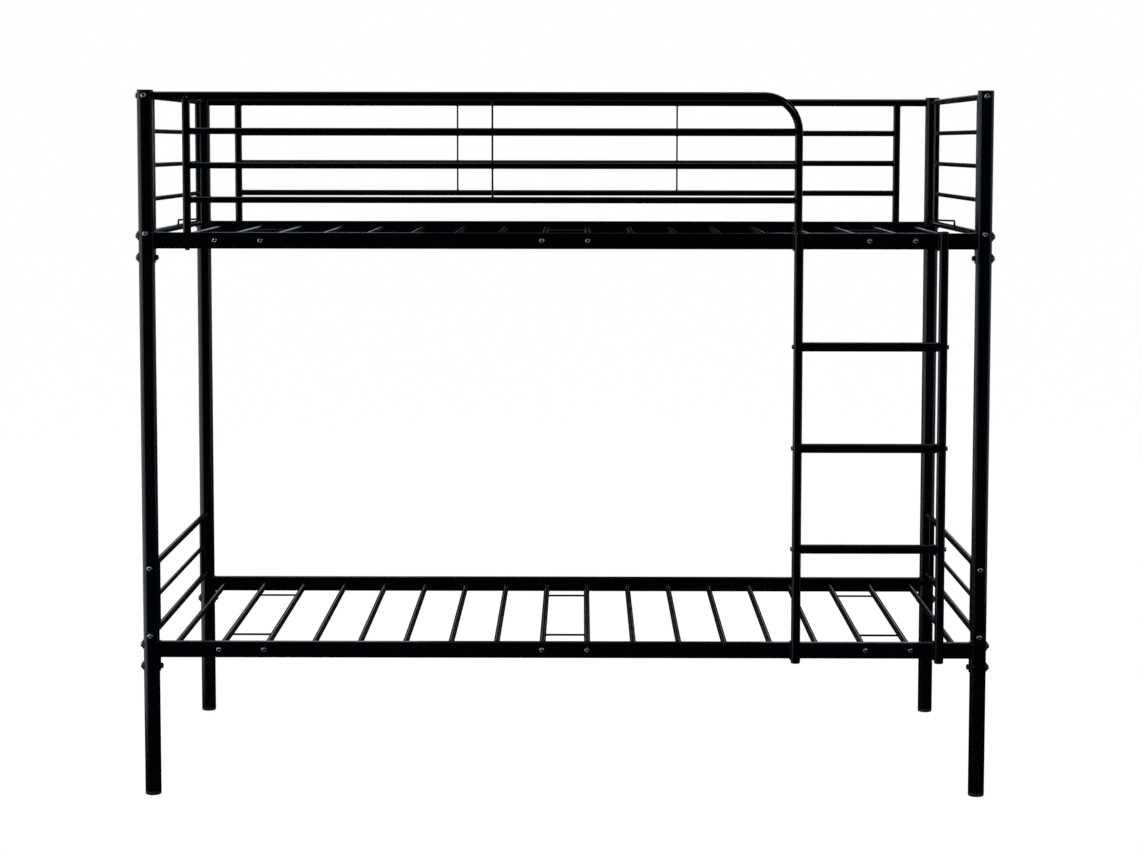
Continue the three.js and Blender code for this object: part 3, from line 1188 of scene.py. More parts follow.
@dataclass
class EndFrames:
    """The four welded end frames: two bars from post to post with uprights and rods between."""

    shop: Workshop
    plan: BedPlan
    bar: float = 0.015
    rod: float = 0.011
    lower_rises: tuple[float, ...] = (0.094,)  # the lower frames' rods above the rails
    post_play: float = 0.0001
    wire: float = 0.005
    wire_bend: float = 0.007
    stop_leg: float = 0.020  # from the bed's long centre line
    stop_rises: tuple[float, float] = (0.010, 0.018)  # at the upright and at the leg

    def build(self) -> None:
        """Makes the four frames."""
        for bunk in Bunk:
            for side in Side:
                self._frame(bunk, side)

    def _frame(self, bunk: Bunk, side: Side) -> None:
        """Makes one end frame.

        Args:
            bunk: The frame's bunk.
            side: The frame's end of the bed.
        """
        node = f"{bunk.value}_end_frame_{side.value}"
        low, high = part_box(node)
        x = middle(node).x
        front, rear = (self.plan.posts[row, side].y for row in Row)
        top, bottom = high.z - self.bar / 2, low.z + self.bar / 2
        near, far = front + self.plan.upright_inset, rear - self.plan.upright_inset
        bars = [Bar.straight((x, front, z), (x, rear, z), self.bar) for z in (top, bottom)]
        bars += [Bar.straight((x, y, bottom), (x, y, top), self.bar) for y in (near, far)]
        rises = self.plan.bar_rises if bunk is Bunk.UPPER else self.lower_rises
        for z in (self.plan.rail_tops[bunk] + rise for rise in rises):
            bars.append(Bar.straight((x, near, z), (x, far, z), self.rod))
        if bunk is Bunk.UPPER:
            bars.append(self._mattress_stop(x, far, (front + rear) / 2 + self.stop_leg, bottom))
        cuts = [self.plan.post_space(row, side, self.post_play) for row in Row]
        bench = Workpiece().add_bars(bars)
        mesh = self.shop.weld(f"end_frame_{bunk.value}_{side.value}", bench, cuts)
        self.shop.hand_over(mesh, Slot.COAT, [node])

    def _mattress_stop(self, x: float, upright: float, leg: float, bar_z: float) -> Bar:
        """The wire from the rear upright that bends down to stand on the lower bar.

        Args:
            x: The frame's plane.
            upright: Where along Y the upright is.
            leg: Where along Y the wire comes down.
            bar_z: The lower bar's axis.

        Returns:
            The wire.
        """
        at_upright, at_leg = (bar_z + rise for rise in self.stop_rises)
        route = (Vector((x, upright, at_upright)), Vector((x, leg, at_leg)), Vector((x, leg, bar_z)))
        return Bar(route, self.wire, self.wire_bend)


# ---- Guards ----------------------------------------------------------------------------


@dataclass
class Guards:
    """The upper bunk's front and rear guards."""

    shop: Workshop
    plan: BedPlan
    tube: float = 0.019
    bar: float = 0.015
    rod: float = 0.0045
    bend: float = 0.082
    post_play: float = 0.0001
    foot_play: float = 0.0002
    clip_stand: float = 0.0036  # the front guard's right leg stands on the ladder's clip

    def build(self) -> None:
        """Makes both guards."""
        self._front()
        self._rear()

    def _finish(self, row: Row, bars: Iterable[Bar], sides: Iterable[Side]) -> None:
        """Welds a guard's bars, fits it to its posts and hands it over.

        Args:
            row: The guard's row.
            bars: Its bars.
            sides: The ends at which it meets a post.
        """
        cuts = [self.plan.post_space(row, side, self.post_play) for side in sides]
        mesh = self.shop.weld(f"guard_{row.value}", Workpiece().add_bars(bars), cuts)
        self.shop.hand_over(mesh, Slot.COAT, [f"{row.value}_guard"])

    def _between(self, y: float, left: float, right: float, top: float, rods: int) -> list[Bar]:
        """The level bars and thin rods between two uprights.

        Args:
            y: The guard's plane.
            left: The left upright's axis.
            right: The right upright's axis.
            top: The top tube's axis.
            rods: How many rods there are.

        Returns:
            The bars and rods.
        """
        levels = [self.plan.rail_tops[Bunk.UPPER] + rise for rise in self.plan.bar_rises]
        bars = [Bar.straight((left, y, z), (right, y, z), self.bar) for z in levels]
        for i in range(rods):
            x = left + (right - left) * (i + 1) / (rods + 1)
            bars.append(Bar.straight((x, y, levels[0]), (x, y, top), self.rod))
        return bars

    def _upright(self, x: float, y: float, top: float) -> Bar:
        """An upright tube that stands on the rail."""
        foot = self.plan.rail_tops[Bunk.UPPER] + self.foot_play
        return Bar.straight((x, y, foot), (x, y, top), self.tube)

    def _front(self) -> None:
        """Makes the front guard, whose top tube bends down beside the ladder."""
        high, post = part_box("front_guard")[1], self.plan.posts[Row.FRONT, Side.LEFT]
        y, top, right = post.y, high.z - self.tube / 2, high.x - self.tube / 2
        left = post.x + self.plan.upright_inset
        foot = self.plan.rail_tops[Bunk.UPPER] + self.clip_stand
        route = (Vector((post.x, y, top)), Vector((right, y, top)), Vector((right, y, foot)))
        bars = [Bar(route, self.tube, self.bend), self._upright(left, y, top)]
        self._finish(Row.FRONT, bars + self._between(y, left, right, top, rods=1), [Side.LEFT])

    def _rear(self) -> None:
        """Makes the rear guard, from post to post."""
        start, end = (self.plan.posts[Row.REAR, side] for side in Side)
        y, top = start.y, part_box("rear_guard")[1].z - self.tube / 2
        left, right = start.x + self.plan.upright_inset, end.x - self.plan.upright_inset
        bars = [Bar.straight((start.x, y, top), (end.x, y, top), self.tube)]
        bars += [self._upright(x, y, top) for x in (left, right)]
        self._finish(Row.REAR, bars + self._between(y, left, right, top, rods=2), Side)


# ---- Ladder ----------------------------------------------------------------------------


@dataclass
class Ladder:
    """The ladder: two stiles with clips for the rails, three bolted rungs and two end plugs."""

    shop: Workshop
    plan: BedPlan
    rails: SideRails
    stile: float = 0.022
    stile_sides: int = 48
    head_rise: float = 0.005  # above the upper rail
    head_round: float = 0.006
    head_steps: int = 8
    foot_chamfer: float = 0.0004
    bead: float = 0.0011
    clip_width: float = 0.025
    clip_thickness: float = 0.003
    clip_play: float = 0.0003
    clip_stand: float = 0.0105  # from a rail's axis to where the play starts
    clip_depth: float = 0.018
    clip_bend: float = 0.0042
    clip_tip: float = 0.45  # rounding of its tips, as a share of its thickness
    clip_steps: int = 5
    clip_chamfer: float = 0.0004
    plug_grip: float = 0.016  # how far a plug reaches up its stile
    plug_seam: float = 0.0002
    plug_round: float = 0.0028
    plug_turn: float = -86.0  # degrees, where the rounding starts
    plug_steps: int = 6
    plug_crown: float = 0.0001
    plug_sides: int = 40
    rung_play: float = 0.0002
    rung_sides: int = 48
    cope_reach: float = 0.05
    cope_sides: int = 64

    def build(self) -> None:
        """Makes the stiles, plugs and rungs."""
        for side in Side:
            self._stile(side)
        self._plugs()
        self._rungs()

    def axis(self, side: Side) -> Vector:
        """A stile's centre line, at floor level."""
        node = f"ladder_stile_{side.value}"
        return Vector((middle(node).x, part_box(node)[0].y + self.stile / 2, 0))

    def rung_nodes(self) -> list[str]:
        """The frame's rungs, from the lowest."""
        return sorted(name for name in bpy.data.objects.keys() if name.startswith("ladder_rung_"))

    def _clip(self, rail_top: float, rail_y: float) -> Shape:
        """A pressed clip over and under a rail, at X zero.

        Args:
            rail_top: The rail's top.
            rail_y: The rail's centre line.

        Returns:
            The clip.
        """
        low, high = rail_top - self.rails.height - self.clip_play, rail_top + self.clip_play
        back = rail_y - self.clip_stand - self.clip_play
        front, reach, t = back - self.clip_thickness, back + self.clip_depth, self.clip_thickness
        bend, inside, tip = self.clip_bend, self.clip_bend - t, t * self.clip_tip
        corners = [
            (front, low - t, bend), (reach, low - t, tip), (reach, low, tip), (back, low, inside),
            (back, high, inside), (reach, high, tip), (reach, high + t, tip), (front, high + t, bend),
        ]
        return extruded(rounded(corners, self.clip_steps), self.clip_width, self.clip_chamfer)

    def _stile(self, side: Side) -> None:
        """Makes one stile with its two clips.

        Args:
            side: The stile's side.
        """
        axis, rail_y = self.axis(side), self.plan.posts[Row.FRONT, side].y
        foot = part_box(f"ladder_plug_{side.value}")[1].z - self.plug_grip
        head = self.plan.rail_tops[Bunk.UPPER] + self.head_rise
        radius, edge, chamfer = self.stile / 2, self.head_round, self.foot_chamfer
        outline = [(0, foot), (radius - chamfer, foot), (radius, foot + chamfer)]
        outline += arc((radius - edge, head - edge), edge, 0, 90, self.head_steps)
        tube = turned([*outline, (0, head)], self.stile_sides)
        bench = Workpiece().add_solid(tube.placed(Matrix.Translation(axis)))
        for bunk in Bunk:
            clip = self._clip(self.plan.rail_tops[bunk], rail_y)
            bench.add_solid(clip.placed(Matrix.Translation((axis.x, 0, 0))))
        mesh = self.shop.weld(f"ladder_upright_{side.value}", bench, Bead_Radius=self.bead)
        self.shop.hand_over(mesh, Slot.COAT, [f"ladder_stile_{side.value}"])

    def _plugs(self) -> None:
        """Makes the rounded plugs under the stiles' lower ends."""
        low, high = (corner.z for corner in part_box("ladder_plug_left"))
        rim, edge, seat = self.stile / 2, self.plug_round, high - self.plug_grip - self.plug_seam
        outline = [(0, low), (rim / 2, low + self.plug_crown)]
        outline += arc((rim - edge, low + edge), edge, self.plug_turn, 0, self.plug_steps)
        shape = turned([*outline, (rim, seat), (0, seat)], self.plug_sides)
        spots = [Spot(self.axis(side), UP) for side in Side]
        model = shape.mesh("ladder_plugs_model")
        mesh = self.shop.repeat("ladder_plugs", model, spots, Slot.PLASTIC)
        self.shop.hand_over(mesh, Slot.PLASTIC, [f"ladder_plug_{side.value}" for side in Side])

    def _rungs(self) -> None:
        """Makes the rungs from one model whose ends are coped to the stiles."""
        nodes = self.rung_nodes()
        low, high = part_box(nodes[0])
        left, right = self.axis(Side.LEFT), self.axis(Side.RIGHT)
        reach, centre = (right.x - left.x) / 2, (left.x + right.x) / 2
        bench = Workpiece().add_bars([Bar.straight((-reach, 0, 0), (reach, 0, 0), high.z - low.z)])
        cope = drill(
            self.stile / 2 + self.rung_play, -self.cope_reach, self.cope_reach, self.cope_sides
        )
        cuts = [cope.placed(Matrix.Translation((x, 0, 0))) for x in (-reach, reach)]
        model = self.shop.weld("ladder_rungs_model", bench, cuts, Sides=self.rung_sides)
        spots = [Spot(Vector((centre, left.y, middle(node).z)), UP) for node in nodes]
        mesh = self.shop.repeat("ladder_rungs", model, spots, Slot.COAT)
        self.shop.hand_over(mesh, Slot.COAT, nodes)


# ---- Fasteners -------------------------------------------------------------------------


@dataclass(frozen=True)
class ButtonHead:
    """A button-head bolt with a hexagon socket."""

    width: float = 0.0132
    height: float = 0.0042
    rim: float = 0.0009
    crown_turns: tuple[int, ...] = (0, 10, 20, 30, 40, 50, 60)  # degrees up the crown
    chamfer: float = 0.0003
    socket: float = 0.0062
    socket_depth: float = 0.0034
    socket_lip: float = 0.0001
    point: float = 0.0006  # the drill point under the socket
    point_share: float = 0.3
    shank: float = 0.0075
    shank_length: float = 0.0025
    sides: int = 36

    def shape(self) -> Shape:
        """The head and a stub of its shank.

        Returns:
            The solid, seated at the origin and facing +Z.
        """
        radius, shank, dome = self.width / 2, self.shank / 2, self.height - self.rim
        outline = [(shank, -self.shank_length), (shank, 0.0)]
        outline += [(radius - self.chamfer, 0.0), (radius, self.chamfer)]
        for turn in (math.radians(degrees) for degrees in self.crown_turns):
            outline.append((radius * math.cos(turn), self.rim + dome * math.sin(turn)))
        top = outline[-1][1]
        bottom = top - self.socket_depth
        socket = [
            (self.socket + 2 * self.chamfer, top + self.socket_lip),
            (self.socket, top - self.chamfer),
            (self.socket, bottom),
            (self.socket * self.point_share, bottom - self.point),
        ]
        rings = [ring([reach] * self.sides, z) for reach, z in outline]
        return lofted(rings + [ring(hexagon(across, self.sides), z) for across, z in socket])


@dataclass(frozen=True)
class HexPart:
    """A hexagon nut or bolt head with chamfered corners and a domed middle."""

    across: float = 0.0125
    height: float = 0.0046
    chamfer: float = 0.00048
    face_share: float = 0.98  # of the width across flats
    stud: float = 0.0078
    stud_rise: float = 0.0016
    stud_edge: float = 0.6  # share of its rise at which the stud is drawn in
    stud_tip: float = 0.7  # share of its width at the tip
    sides: int = 36

    def shape(self) -> Shape:
        """The nut or head.

        Returns:
            The solid, seated at the origin and facing +Z.
        """
        flats = hexagon(self.across, self.sides)
        face = [self.across / 2 * self.face_share] * self.sides
        stud = [self.stud / 2] * self.sides
        tip = [reach * self.stud_tip for reach in stud]
        return lofted([
            ring(face, 0.0),
            ring(flats, self.chamfer),
            ring(flats, self.height - self.chamfer),
            ring(face, self.height),
            ring(stud, self.height),
            ring(stud, self.height + self.stud_rise * self.stud_edge),
            ring(tip, self.height + self.stud_rise),
        ])


@dataclass(frozen=True)
class SaddleWasher:
    """A moulded washer, flat outside for the bolt's head and hollowed behind to fit a post."""

    post_radius: float
    width: float = 0.0225
    thickness: float = 0.0034
    edge: float = 0.0012
    flat: float = 0.0145
    back_shares: tuple[float, ...] = (0.1, 0.4, 0.7, 0.96)  # of the radius
    edge_start: float = 0.35  # share of the edge
    brim_share: float = 0.97  # of the radius, where the shoulder starts
    brim_rise: float = 1.3  # share of the edge
    shoulder_steps: tuple[float, ...] = (0.3, 0.6, 0.85)
    sides: int = 48

    def _curved(self, reach: float, rise: float) -> list[Vector]:
        """A ring that follows the post's curve.

        Args:
            reach: The ring's radius.
            rise: How far it is from the post.

        Returns:
            The ring.
        """
        points = ring([reach] * self.sides, rise - self.post_radius)
        return [point + UP * math.sqrt(self.post_radius**2 - point.x**2) for point in points]

    def shape(self) -> Shape:
        """The washer, on a post along Y.

        Returns:
            The solid, seated at the origin and facing +Z.
        """
        radius, shoulder = self.width / 2, self.flat / 2
        brim, rise = radius * self.brim_share, self.edge * self.brim_rise
        rings = [self._curved(radius * share, 0.0) for share in self.back_shares]
        rings += [self._curved(radius, self.edge * self.edge_start), self._curved(radius, self.edge)]
        rings.append(self._curved(brim, rise))
        for step in self.shoulder_steps:
            share = step * step * (3 - 2 * step)
            outer = self._curved(brim + (shoulder - brim) * step, rise)
            rings.append([p.lerp(Vector((p.x, p.y, self.thickness)), share) for p in outer])
        rings += [ring([reach] * self.sides, self.thickness) for reach in (shoulder, shoulder / 2)]
        return lofted(rings)


@dataclass
class Fasteners:
    """The bolts, nuts and washers that hold the bed together."""

    shop: Workshop
    plan: BedPlan
    rails: SideRails
    frames: EndFrames
    guards: Guards
    ladder: Ladder
    upper_rise: float = 0.011  # of a rail's upper bolt above its middle
    lower_drop: float = 0.040  # of its lower bolt below its middle
    rung_bolt: HexPart = HexPart(across=0.010, height=0.0040, stud=0.0052, stud_rise=0.0006)
    rung_bolt_sink: float = 0.0006  # into the stile's round side
    seed: int = 11

    def build(self) -> None:
        """Makes every kind of fastener."""
        turns = random.Random(self.seed)
        washer, through = SaddleWasher(self.plan.post_radius), self._rail_bolts()
        self._place("saddle_washers", washer.shape(), through, Slot.PLASTIC)
        heads = [Spot(spot.seat + spot.facing * washer.thickness, spot.facing) for spot in through]
        heads += self._guard_bolts() + self._frame_bolts() + self._slat_bolts() + self._guard_feet()
        heads = [Spot(spot.seat, spot.facing, turns.uniform(0, FULL_TURN)) for spot in heads]
        self._place("button_bolts", ButtonHead().shape(), heads, Slot.ZINC)
        self._place("rail_nut_caps", HexPart().shape(), self._rail_nuts(), Slot.PLASTIC)
        self._place("rung_bolts", self.rung_bolt.shape(), self._rung_bolts(), Slot.ZINC)

    def _place(self, name: str, part: Shape, spots: Sequence[Spot], slot: Slot) -> None:
        """Places one kind of fastener and hands it over."""
        mesh = self.shop.repeat(name, part.mesh(f"{name}_model"), spots, slot)
        self.shop.hand_over(mesh, slot)

    def _rail_levels(self, bunk: Bunk) -> tuple[float, float]:
        """The heights of a rail's upper and lower bolt."""
        centre = self.plan.rail_tops[bunk] - self.rails.height / 2
        return centre + self.upper_rise, centre - self.lower_drop

    def _rail_bolts(self) -> list[Spot]:
        """Bolts through the posts' outer sides into the rails and their saddles.

        Returns:
            Their spots.
        """
        spots = []
        for (_, side), post in self.plan.posts.items():
            outside = post + side.outward * self.plan.post_radius
            for bunk in Bunk:
                spots += [Spot(outside + UP * z, side.outward) for z in self._rail_levels(bunk)]
        return spots

    def _rail_nuts(self) -> list[Spot]:
        """Capped nuts on the saddles, on the lower bolts below the rails.

        Returns:
            Their spots.
        """
        spots = []
        stand = self.plan.post_radius + self.rails.plate_play + self.rails.plate
        for (_, side), post in self.plan.posts.items():
            inside = post - side.outward * stand
            spots += [Spot(inside + UP * self._rail_levels(bunk)[1], -side.outward) for bunk in Bunk]
        return spots

    def _guard_bolts(self) -> list[Spot]:
        """Bolts through the posts into the guards' top tubes.

        Returns:
            Their spots.
        """
        spots = []
        for row, side in ((Row.FRONT, Side.LEFT), (Row.REAR, Side.LEFT), (Row.REAR, Side.RIGHT)):
            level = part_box(f"{row.value}_guard")[1].z - self.guards.tube / 2
            seat = self.plan.posts[row, side] + side.outward * self.plan.post_radius
            spots.append(Spot(seat + UP * level, side.outward))
        return spots

    def _frame_bolts(self) -> list[Spot]:
        """Bolts through the posts' faces into the end frames' thick bars.

        Returns:
            Their spots.
        """
        spots = []
        for (row, side), post in self.plan.posts.items():
            face = post + row.outward * self.plan.post_radius
            for bunk in Bunk:
                low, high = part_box(f"{bunk.value}_end_frame_{side.value}")
                levels = (low.z + self.frames.bar / 2, high.z - self.frames.bar / 2)
                spots += [Spot(face + UP * z, row.outward) for z in levels]
        return spots

    def _slat_bolts(self) -> list[Spot]:
        """Bolts through the rails into the paired slats' ends.

        Returns:
            Their spots.
        """
        spots = []
        for node in slat_nodes(Bunk.UPPER, paired=True) + slat_nodes(Bunk.LOWER, paired=True):
            low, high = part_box(node)
            radius, z = (high.z - low.z) / 2, middle(node).z
            for row in Row:
                y = self.rails.axis_y(row) + row.outward.y * self.rails.thickness / 2
                places = [Vector((x, y, z)) for x in (low.x + radius, high.x - radius)]
                spots += [Spot(place, row.outward) for place in places]
        return spots

    def _guard_feet(self) -> list[Spot]:
        """Bolts up through the upper rails into the guards' legs.

        Returns:
            Their spots.
        """
        under = self.plan.rail_tops[Bunk.UPPER] - self.rails.height
        clip, inset = self.ladder.clip_thickness + self.ladder.clip_play, self.plan.upright_inset
        places = [
            (Row.FRONT, self.plan.posts[Row.FRONT, Side.LEFT].x + inset, under),
            (Row.FRONT, self.ladder.axis(Side.LEFT).x, under - clip),
            (Row.REAR, self.plan.posts[Row.REAR, Side.LEFT].x + inset, under),
            (Row.REAR, self.plan.posts[Row.REAR, Side.RIGHT].x - inset, under),
        ]
        return [Spot(Vector((x, self.rails.axis_y(row), z)), -UP) for row, x, z in places]

    def _rung_bolts(self) -> list[Spot]:
        """Bolts through the stiles' outer sides into the rungs.

        Returns:
            Their spots.
        """
        spots = []
        for side in Side:
            out = self.ladder.stile / 2 - self.rung_bolt_sink
            face = self.ladder.axis(side) + side.outward * out
            levels = [middle(node).z for node in self.ladder.rung_nodes()]
            spots += [Spot(face + UP * level, side.outward) for level in levels]
        return spots


# ---- Finishes --------------------------------------------------------------------------


def blank_material(name: str) -> tuple[Graph, bpy.types.Material]:
    """A material with an empty node graph.

    Args:
        name: The material's name.

    Returns:
        The graph and the material.
    """
    material = bpy.data.materials.new(name)
    material.use_nodes = True
    material.node_tree.nodes.clear()
    return Graph(material.node_tree), material


@dataclass(frozen=True)
class Grain:
    """A noise over a piece's own coordinates, with features of about one size."""

    size: float
    detail: float = 2.0
    roughness: float = 0.5

    def over(self, graph: Graph) -> Value:
        """Adds the noise to a material.

        Args:
            graph: The material's graph.

        Returns:
            The noise, from 0 to 1.
        """
        place = graph.node("ShaderNodeTexCoord")["Object"]
        sizes = {"Scale": 1 / self.size, "Detail": self.detail, "Roughness": self.roughness}
        return graph.node("ShaderNodeTexNoise", None, {"Vector": place, **sizes})["Fac"]


def stretch(graph: Graph, value: Value, span: tuple[float, float]) -> Value:
    """A value remapped so that the start of a span gives 0 and its end gives 1."""
    stops = {"stops": [(span[0], 0.0), (span[1], 1.0)]}
    return graph.node("ShaderNodeValToRGB", stops, {"Fac": value})["Color"]


def blend(graph: Graph, factor: Value, first: Value | Colour, second: Colour) -> Value:
    """Mixes two colours.

    Args:
        graph: The material's graph.
        factor: How much there is of the second.
        first: The first colour.
        second: The second colour.

    Returns:
        The mix.
    """
    under = first if isinstance(first, Value) else (*first, OPAQUE)
    values = {0: factor, 6: under, 7: (*second, OPAQUE)}
    return graph.node("ShaderNodeMix", {"data_type": "RGBA"}, values)[2]


def bumps(graph: Graph, height: Value, depth: float, strength: float) -> Value:
    """A normal that follows a fine height."""
    values = {"Strength": strength, "Distance": depth, "Height": height}
    return graph.node("ShaderNodeBump", None, values)["Normal"]


def finish_surface(graph: Graph, values: Mapping[str | int, object]) -> None:
    """Ends a material in one Principled shader."""
    shader = graph.node("ShaderNodeBsdfPrincipled", None, values)["BSDF"]
    graph.node("ShaderNodeOutputMaterial", None, {"Surface": shader})


@dataclass(frozen=True)
class PowderCoat:
    """Gloss black powder coat: faint orange peel, and gloss that varies a little by place."""

    dark: Colour = (0.0003, 0.0005, 0.0012)
    light: Colour = (0.0007, 0.0010, 0.0022)
    dust: Colour = (0.09, 0.088, 0.085)
    broad: Grain = Grain(0.16, 3.0, 0.55)
    cloud: Grain = Grain(0.03, 4.0, 0.6)
    peel: Grain = Grain(0.0030, 1.0)
    speck: Grain = Grain(0.0007, 0.0)
    broad_share: float = 0.6
    tone_span: tuple[float, float] = (0.35, 0.68)
    gloss: float = 0.11  # lowest roughness
    gloss_range: float = 0.07
    gloss_span: tuple[float, float] = (0.3, 0.75)
    upward_span: tuple[float, float] = (0.55, 0.98)
    patch_span: tuple[float, float] = (0.42, 0.66)
    dust_cover: float = 0.012
    dust_dulling: float = 0.07
    speck_dulling: float = 0.03
    speck_share: float = 0.15
    depth: float = 0.00003
    strength: float = 0.08
    ior: float = 1.5

    def material(self) -> bpy.types.Material:
        """Makes the finish.

        Returns:
            The material.
        """
        graph, made = blank_material("gloss_black_powder_coat")
        broad, cloud, peel, speck = (
            grain.over(graph) for grain in (self.broad, self.cloud, self.peel, self.speck)
        )
        dusty = self._dusty(graph, cloud)
        mottle = broad * self.broad_share + cloud * (1 - self.broad_share)
        colour = blend(graph, stretch(graph, mottle, self.tone_span), self.dark, self.light)
        colour = blend(graph, dusty * self.dust_cover, colour, self.dust)
        roughness = self.gloss + self.gloss_range * stretch(graph, cloud, self.gloss_span)
        roughness = roughness + dusty * self.dust_dulling + speck * self.speck_dulling
        height = peel * (1 - self.speck_share) + speck * self.speck_share
        normal = bumps(graph, height, self.depth, self.strength)
        values = {"Base Color": colour, "Roughness": roughness, "Normal": normal, "IOR": self.ior}
        finish_surface(graph, values)
        return made

    def _dusty(self, graph: Graph, cloud: Value) -> Value:
        """Where a little dust and handling dulls the faces that look up.

        Args:
            graph: The material's graph.
            cloud: The noise that makes patches of it.

        Returns:
            A mask.
        """
        normal = graph.node("ShaderNodeTexCoord")["Normal"]
        height = graph.node("ShaderNodeSeparateXYZ", None, {0: normal})["Z"]
        upward = stretch(graph, height, self.upward_span)
        return upward * stretch(graph, cloud, self.patch_span)


@dataclass(frozen=True)
class MouldedPlastic:
    """Black moulded plastic with a fine spark-eroded grain."""

    dark: Colour = (0.0070, 0.0072, 0.0078)
    light: Colour = (0.0130, 0.0132, 0.0140)
    cloud: Grain = Grain(0.012, 3.0)
    grain: Grain = Grain(0.00045, 2.0, 0.6)
    smoothest: float = 0.38
    cloud_dulling: float = 0.12
    grain_dulling: float = 0.10
    depth: float = 0.00005
    strength: float = 0.5
    ior: float = 1.48

    def material(self) -> bpy.types.Material:
        """Makes the finish.

        Returns:
            The material.
        """
        graph, made = blank_material("black_moulded_plastic")
        cloud, grain = self.cloud.over(graph), self.grain.over(graph)
        colour = blend(graph, cloud, self.dark, self.light)
        roughness = self.smoothest + cloud * self.cloud_dulling + grain * self.grain_dulling
        normal = bumps(graph, grain, self.depth, self.strength)
        values = {"Base Color": colour, "Roughness": roughness, "Normal": normal, "IOR": self.ior}
        finish_surface(graph, values)
        return made


@dataclass(frozen=True)
class ZincPlate:
    """Bright zinc plating: pale metal with a faint warm and blue passivation."""

    cool: Colour = (0.66, 0.69, 0.73)
    warm: Colour = (0.74, 0.71, 0.64)
    mottle: Grain = Grain(0.0045, 3.0, 0.6)
    tooling: Grain = Grain(0.0005, 2.0, 0.65)
    tint_span: tuple[float, float] = (0.4, 0.62)
    smoothest: float = 0.20
    mottle_dulling: float = 0.10
    tooling_dulling: float = 0.06
    depth: float = 0.00003
    strength: float = 0.3

    def material(self) -> bpy.types.Material:
        """Makes the finish.

        Returns:
            The material.
        """
        graph, made = blank_material("bright_zinc_plate")
        mottle, tooling = self.mottle.over(graph), self.tooling.over(graph)
        colour = blend(graph, stretch(graph, mottle, self.tint_span), self.cool, self.warm)
        roughness = self.smoothest + mottle * self.mottle_dulling + tooling * self.tooling_dulling
        normal = bumps(graph, tooling, self.depth, self.strength)
        values = {"Base Color": colour, "Metallic": 1.0, "Roughness": roughness, "Normal": normal}
        finish_surface(graph, values)
        return made


# ---- Studio ----------------------------------------------------------------------------


@dataclass(frozen=True)
class Softbox:
    """A rectangular soft light that faces a point."""

    name: str
    place: tuple[float, float, float]
    target: tuple[float, float, float]
    size: tuple[float, float]
    power: float
    colour: Colour = (0.80, 0.91, 1.0)

    def build(self) -> None:
        """Hangs the light."""
        lamp = bpy.data.lights.new(self.name, "AREA")
        lamp.color = self.colour
        lamp.shape = "RECTANGLE"
        lamp.size, lamp.size_y = self.size
        lamp.energy = self.power
        holder = into_scene(self.name, lamp)
        holder.location = self.place
        aim = Vector(self.target) - Vector(self.place)
        holder.rotation_euler = aim.to_track_quat("-Z", "Y").to_euler()
        holder.visible_camera = False


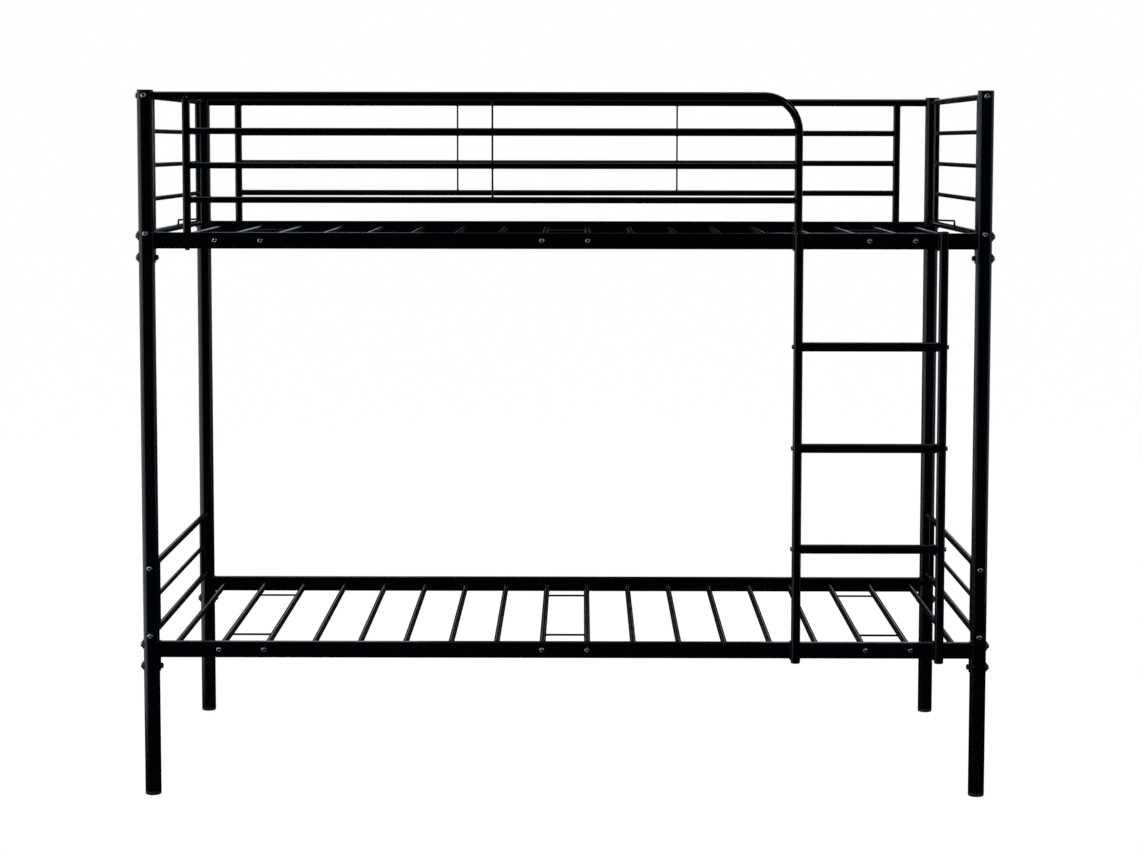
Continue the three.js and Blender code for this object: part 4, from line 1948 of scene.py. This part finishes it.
@dataclass(frozen=True)
class Studio:
    """A white studio: a pale floor, a white backdrop and soft light from the sides and above."""

    floor_size: float = 60.0
    floor_white: float = 0.03
    floor_roughness: float = 0.9
    floor_glow: float = 1.0
    surround: float = 0.006  # the dim room that the gloss reflects

    def build(self) -> None:
        """Makes the floor, the room and the lights."""
        self._floor()
        self._room()
        for light in self._lights():
            light.build()
        bpy.context.scene.view_settings.view_transform = "Standard"

    def _floor(self) -> None:
        """Lays the pale floor."""
        half = self.floor_size / 2
        mesh = bpy.data.meshes.new("studio_floor")
        corners = [(-half, -half, 0), (half, -half, 0), (half, half, 0), (-half, half, 0)]
        mesh.from_pydata(corners, [], [(0, 1, 2, 3)])
        floor = into_scene("studio_floor", mesh)
        graph, material = blank_material("studio_floor")
        values = {
            "Base Color": (self.floor_white, self.floor_white, self.floor_white, OPAQUE),
            "Roughness": self.floor_roughness,
            "Emission Color": (*WHITE, OPAQUE),
            "Emission Strength": self.floor_glow,
        }
        finish_surface(graph, values)
        mesh.materials.append(material)
        floor.visible_glossy = False

    def _room(self) -> None:
        """Makes the backdrop white and the room round it dim."""
        world = bpy.data.worlds.new("studio")
        world.use_nodes = True
        world.node_tree.nodes.clear()
        graph = Graph(world.node_tree)
        seen = graph.node("ShaderNodeLightPath")["Is Camera Ray"]
        values = {"Color": (*WHITE, OPAQUE), "Strength": seen + (1 - seen) * self.surround}
        shade = graph.node("ShaderNodeBackground", None, values)["Background"]
        graph.node("ShaderNodeOutputWorld", None, {"Surface": shade})
        bpy.context.scene.world = world

    @staticmethod
    def _lights() -> list[Softbox]:
        """The softboxes and lamps.

        Returns:
            The lights, the largest at the left.
        """
        heart = (0.0, 0.0, 0.9)
        return [
            Softbox("left_softbox", (-4.0, 0.3, 1.3), (0.0, 0.3, 1.3), (5.0, 3.6), 56.0),
            Softbox("right_softbox", (4.4, 0.9, 1.4), (0.0, 0.9, 1.4), (3.6, 3.0), 11.0),
            Softbox("top_softbox", (0.0, 0.6, 4.4), (0.0, 0.3, 0.9), (4.4, 1.8), 26.0),
            Softbox("high_left_lamp", (-3.2, -4.8, 3.9), heart, (0.9, 0.9), 34.0),
            Softbox("high_right_lamp", (3.2, -4.8, 3.9), heart, (0.9, 0.9), 26.0),
            Softbox("rear_softbox_1", (-1.9, 6.0, 2.2), (-0.4, 0.0, 0.9), (2.4, 1.8), 8.0),
            Softbox("rear_softbox_2", (2.1, 6.0, 2.2), (0.4, 0.0, 0.9), (2.4, 1.8), 8.0),
            Softbox("rear_left_softbox", (-4.4, 5.0, 1.8), heart, (1.6, 3.0), 16.0),
            Softbox("rear_right_softbox", (4.4, 5.0, 1.8), heart, (1.6, 3.0), 16.0),
        ]


@dataclass(frozen=True)
class Viewpoint:
    """The camera: where it stands, how it is turned, and its lens."""

    eye: tuple[float, float, float] = (0.0386, -6.6473, 1.5414)
    down: float = 4.973  # degrees below level
    turn: float = 0.246  # degrees anticlockwise from straight along +Y
    roll: float = 0.069  # degrees
    lens: float = 83.457
    sensor: float = 36.0
    rise: float = -0.0461  # vertical shift
    near: float = 0.1
    far: float = 100.0

    def build(self) -> None:
        """Sets the camera up."""
        data = bpy.data.cameras.new("view")
        data.sensor_fit = "HORIZONTAL"
        data.sensor_width = self.sensor
        data.lens = self.lens
        data.shift_y = self.rise
        data.clip_start, data.clip_end = self.near, self.far
        level = 90.0  # a camera that isn't turned looks straight down
        turns = [(self.turn, "Z"), (level - self.down, "X"), (self.roll, "Z")]
        matrix = Matrix.Translation(self.eye)
        for degrees, axis in turns:
            matrix = matrix @ Matrix.Rotation(math.radians(degrees), 4, axis)
        camera = into_scene("view", data)
        camera.matrix_world = matrix
        bpy.context.scene.camera = camera


# ---- The bed ---------------------------------------------------------------------------


def main() -> None:
    """Builds the bed, the studio and the camera."""
    logging.basicConfig(level=logging.INFO, format="%(message)s")
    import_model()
    Viewpoint().build()
    finishes = {
        Slot.COAT: PowderCoat().material(),
        Slot.PLASTIC: MouldedPlastic().material(),
        Slot.ZINC: ZincPlate().material(),
    }
    shop, plan = Workshop(finishes), BedPlan.from_frame()
    rails, frames, guards = SideRails(shop, plan), EndFrames(shop, plan), Guards(shop, plan)
    ladder = Ladder(shop, plan, rails)
    fasteners = Fasteners(shop, plan, rails, frames, guards, ladder)
    for part in (Posts(shop, plan), rails, Slats(shop, plan), frames, guards, ladder, fasteners):
        part.build()
    Studio().build()


if __name__ == "__main__":
    main()
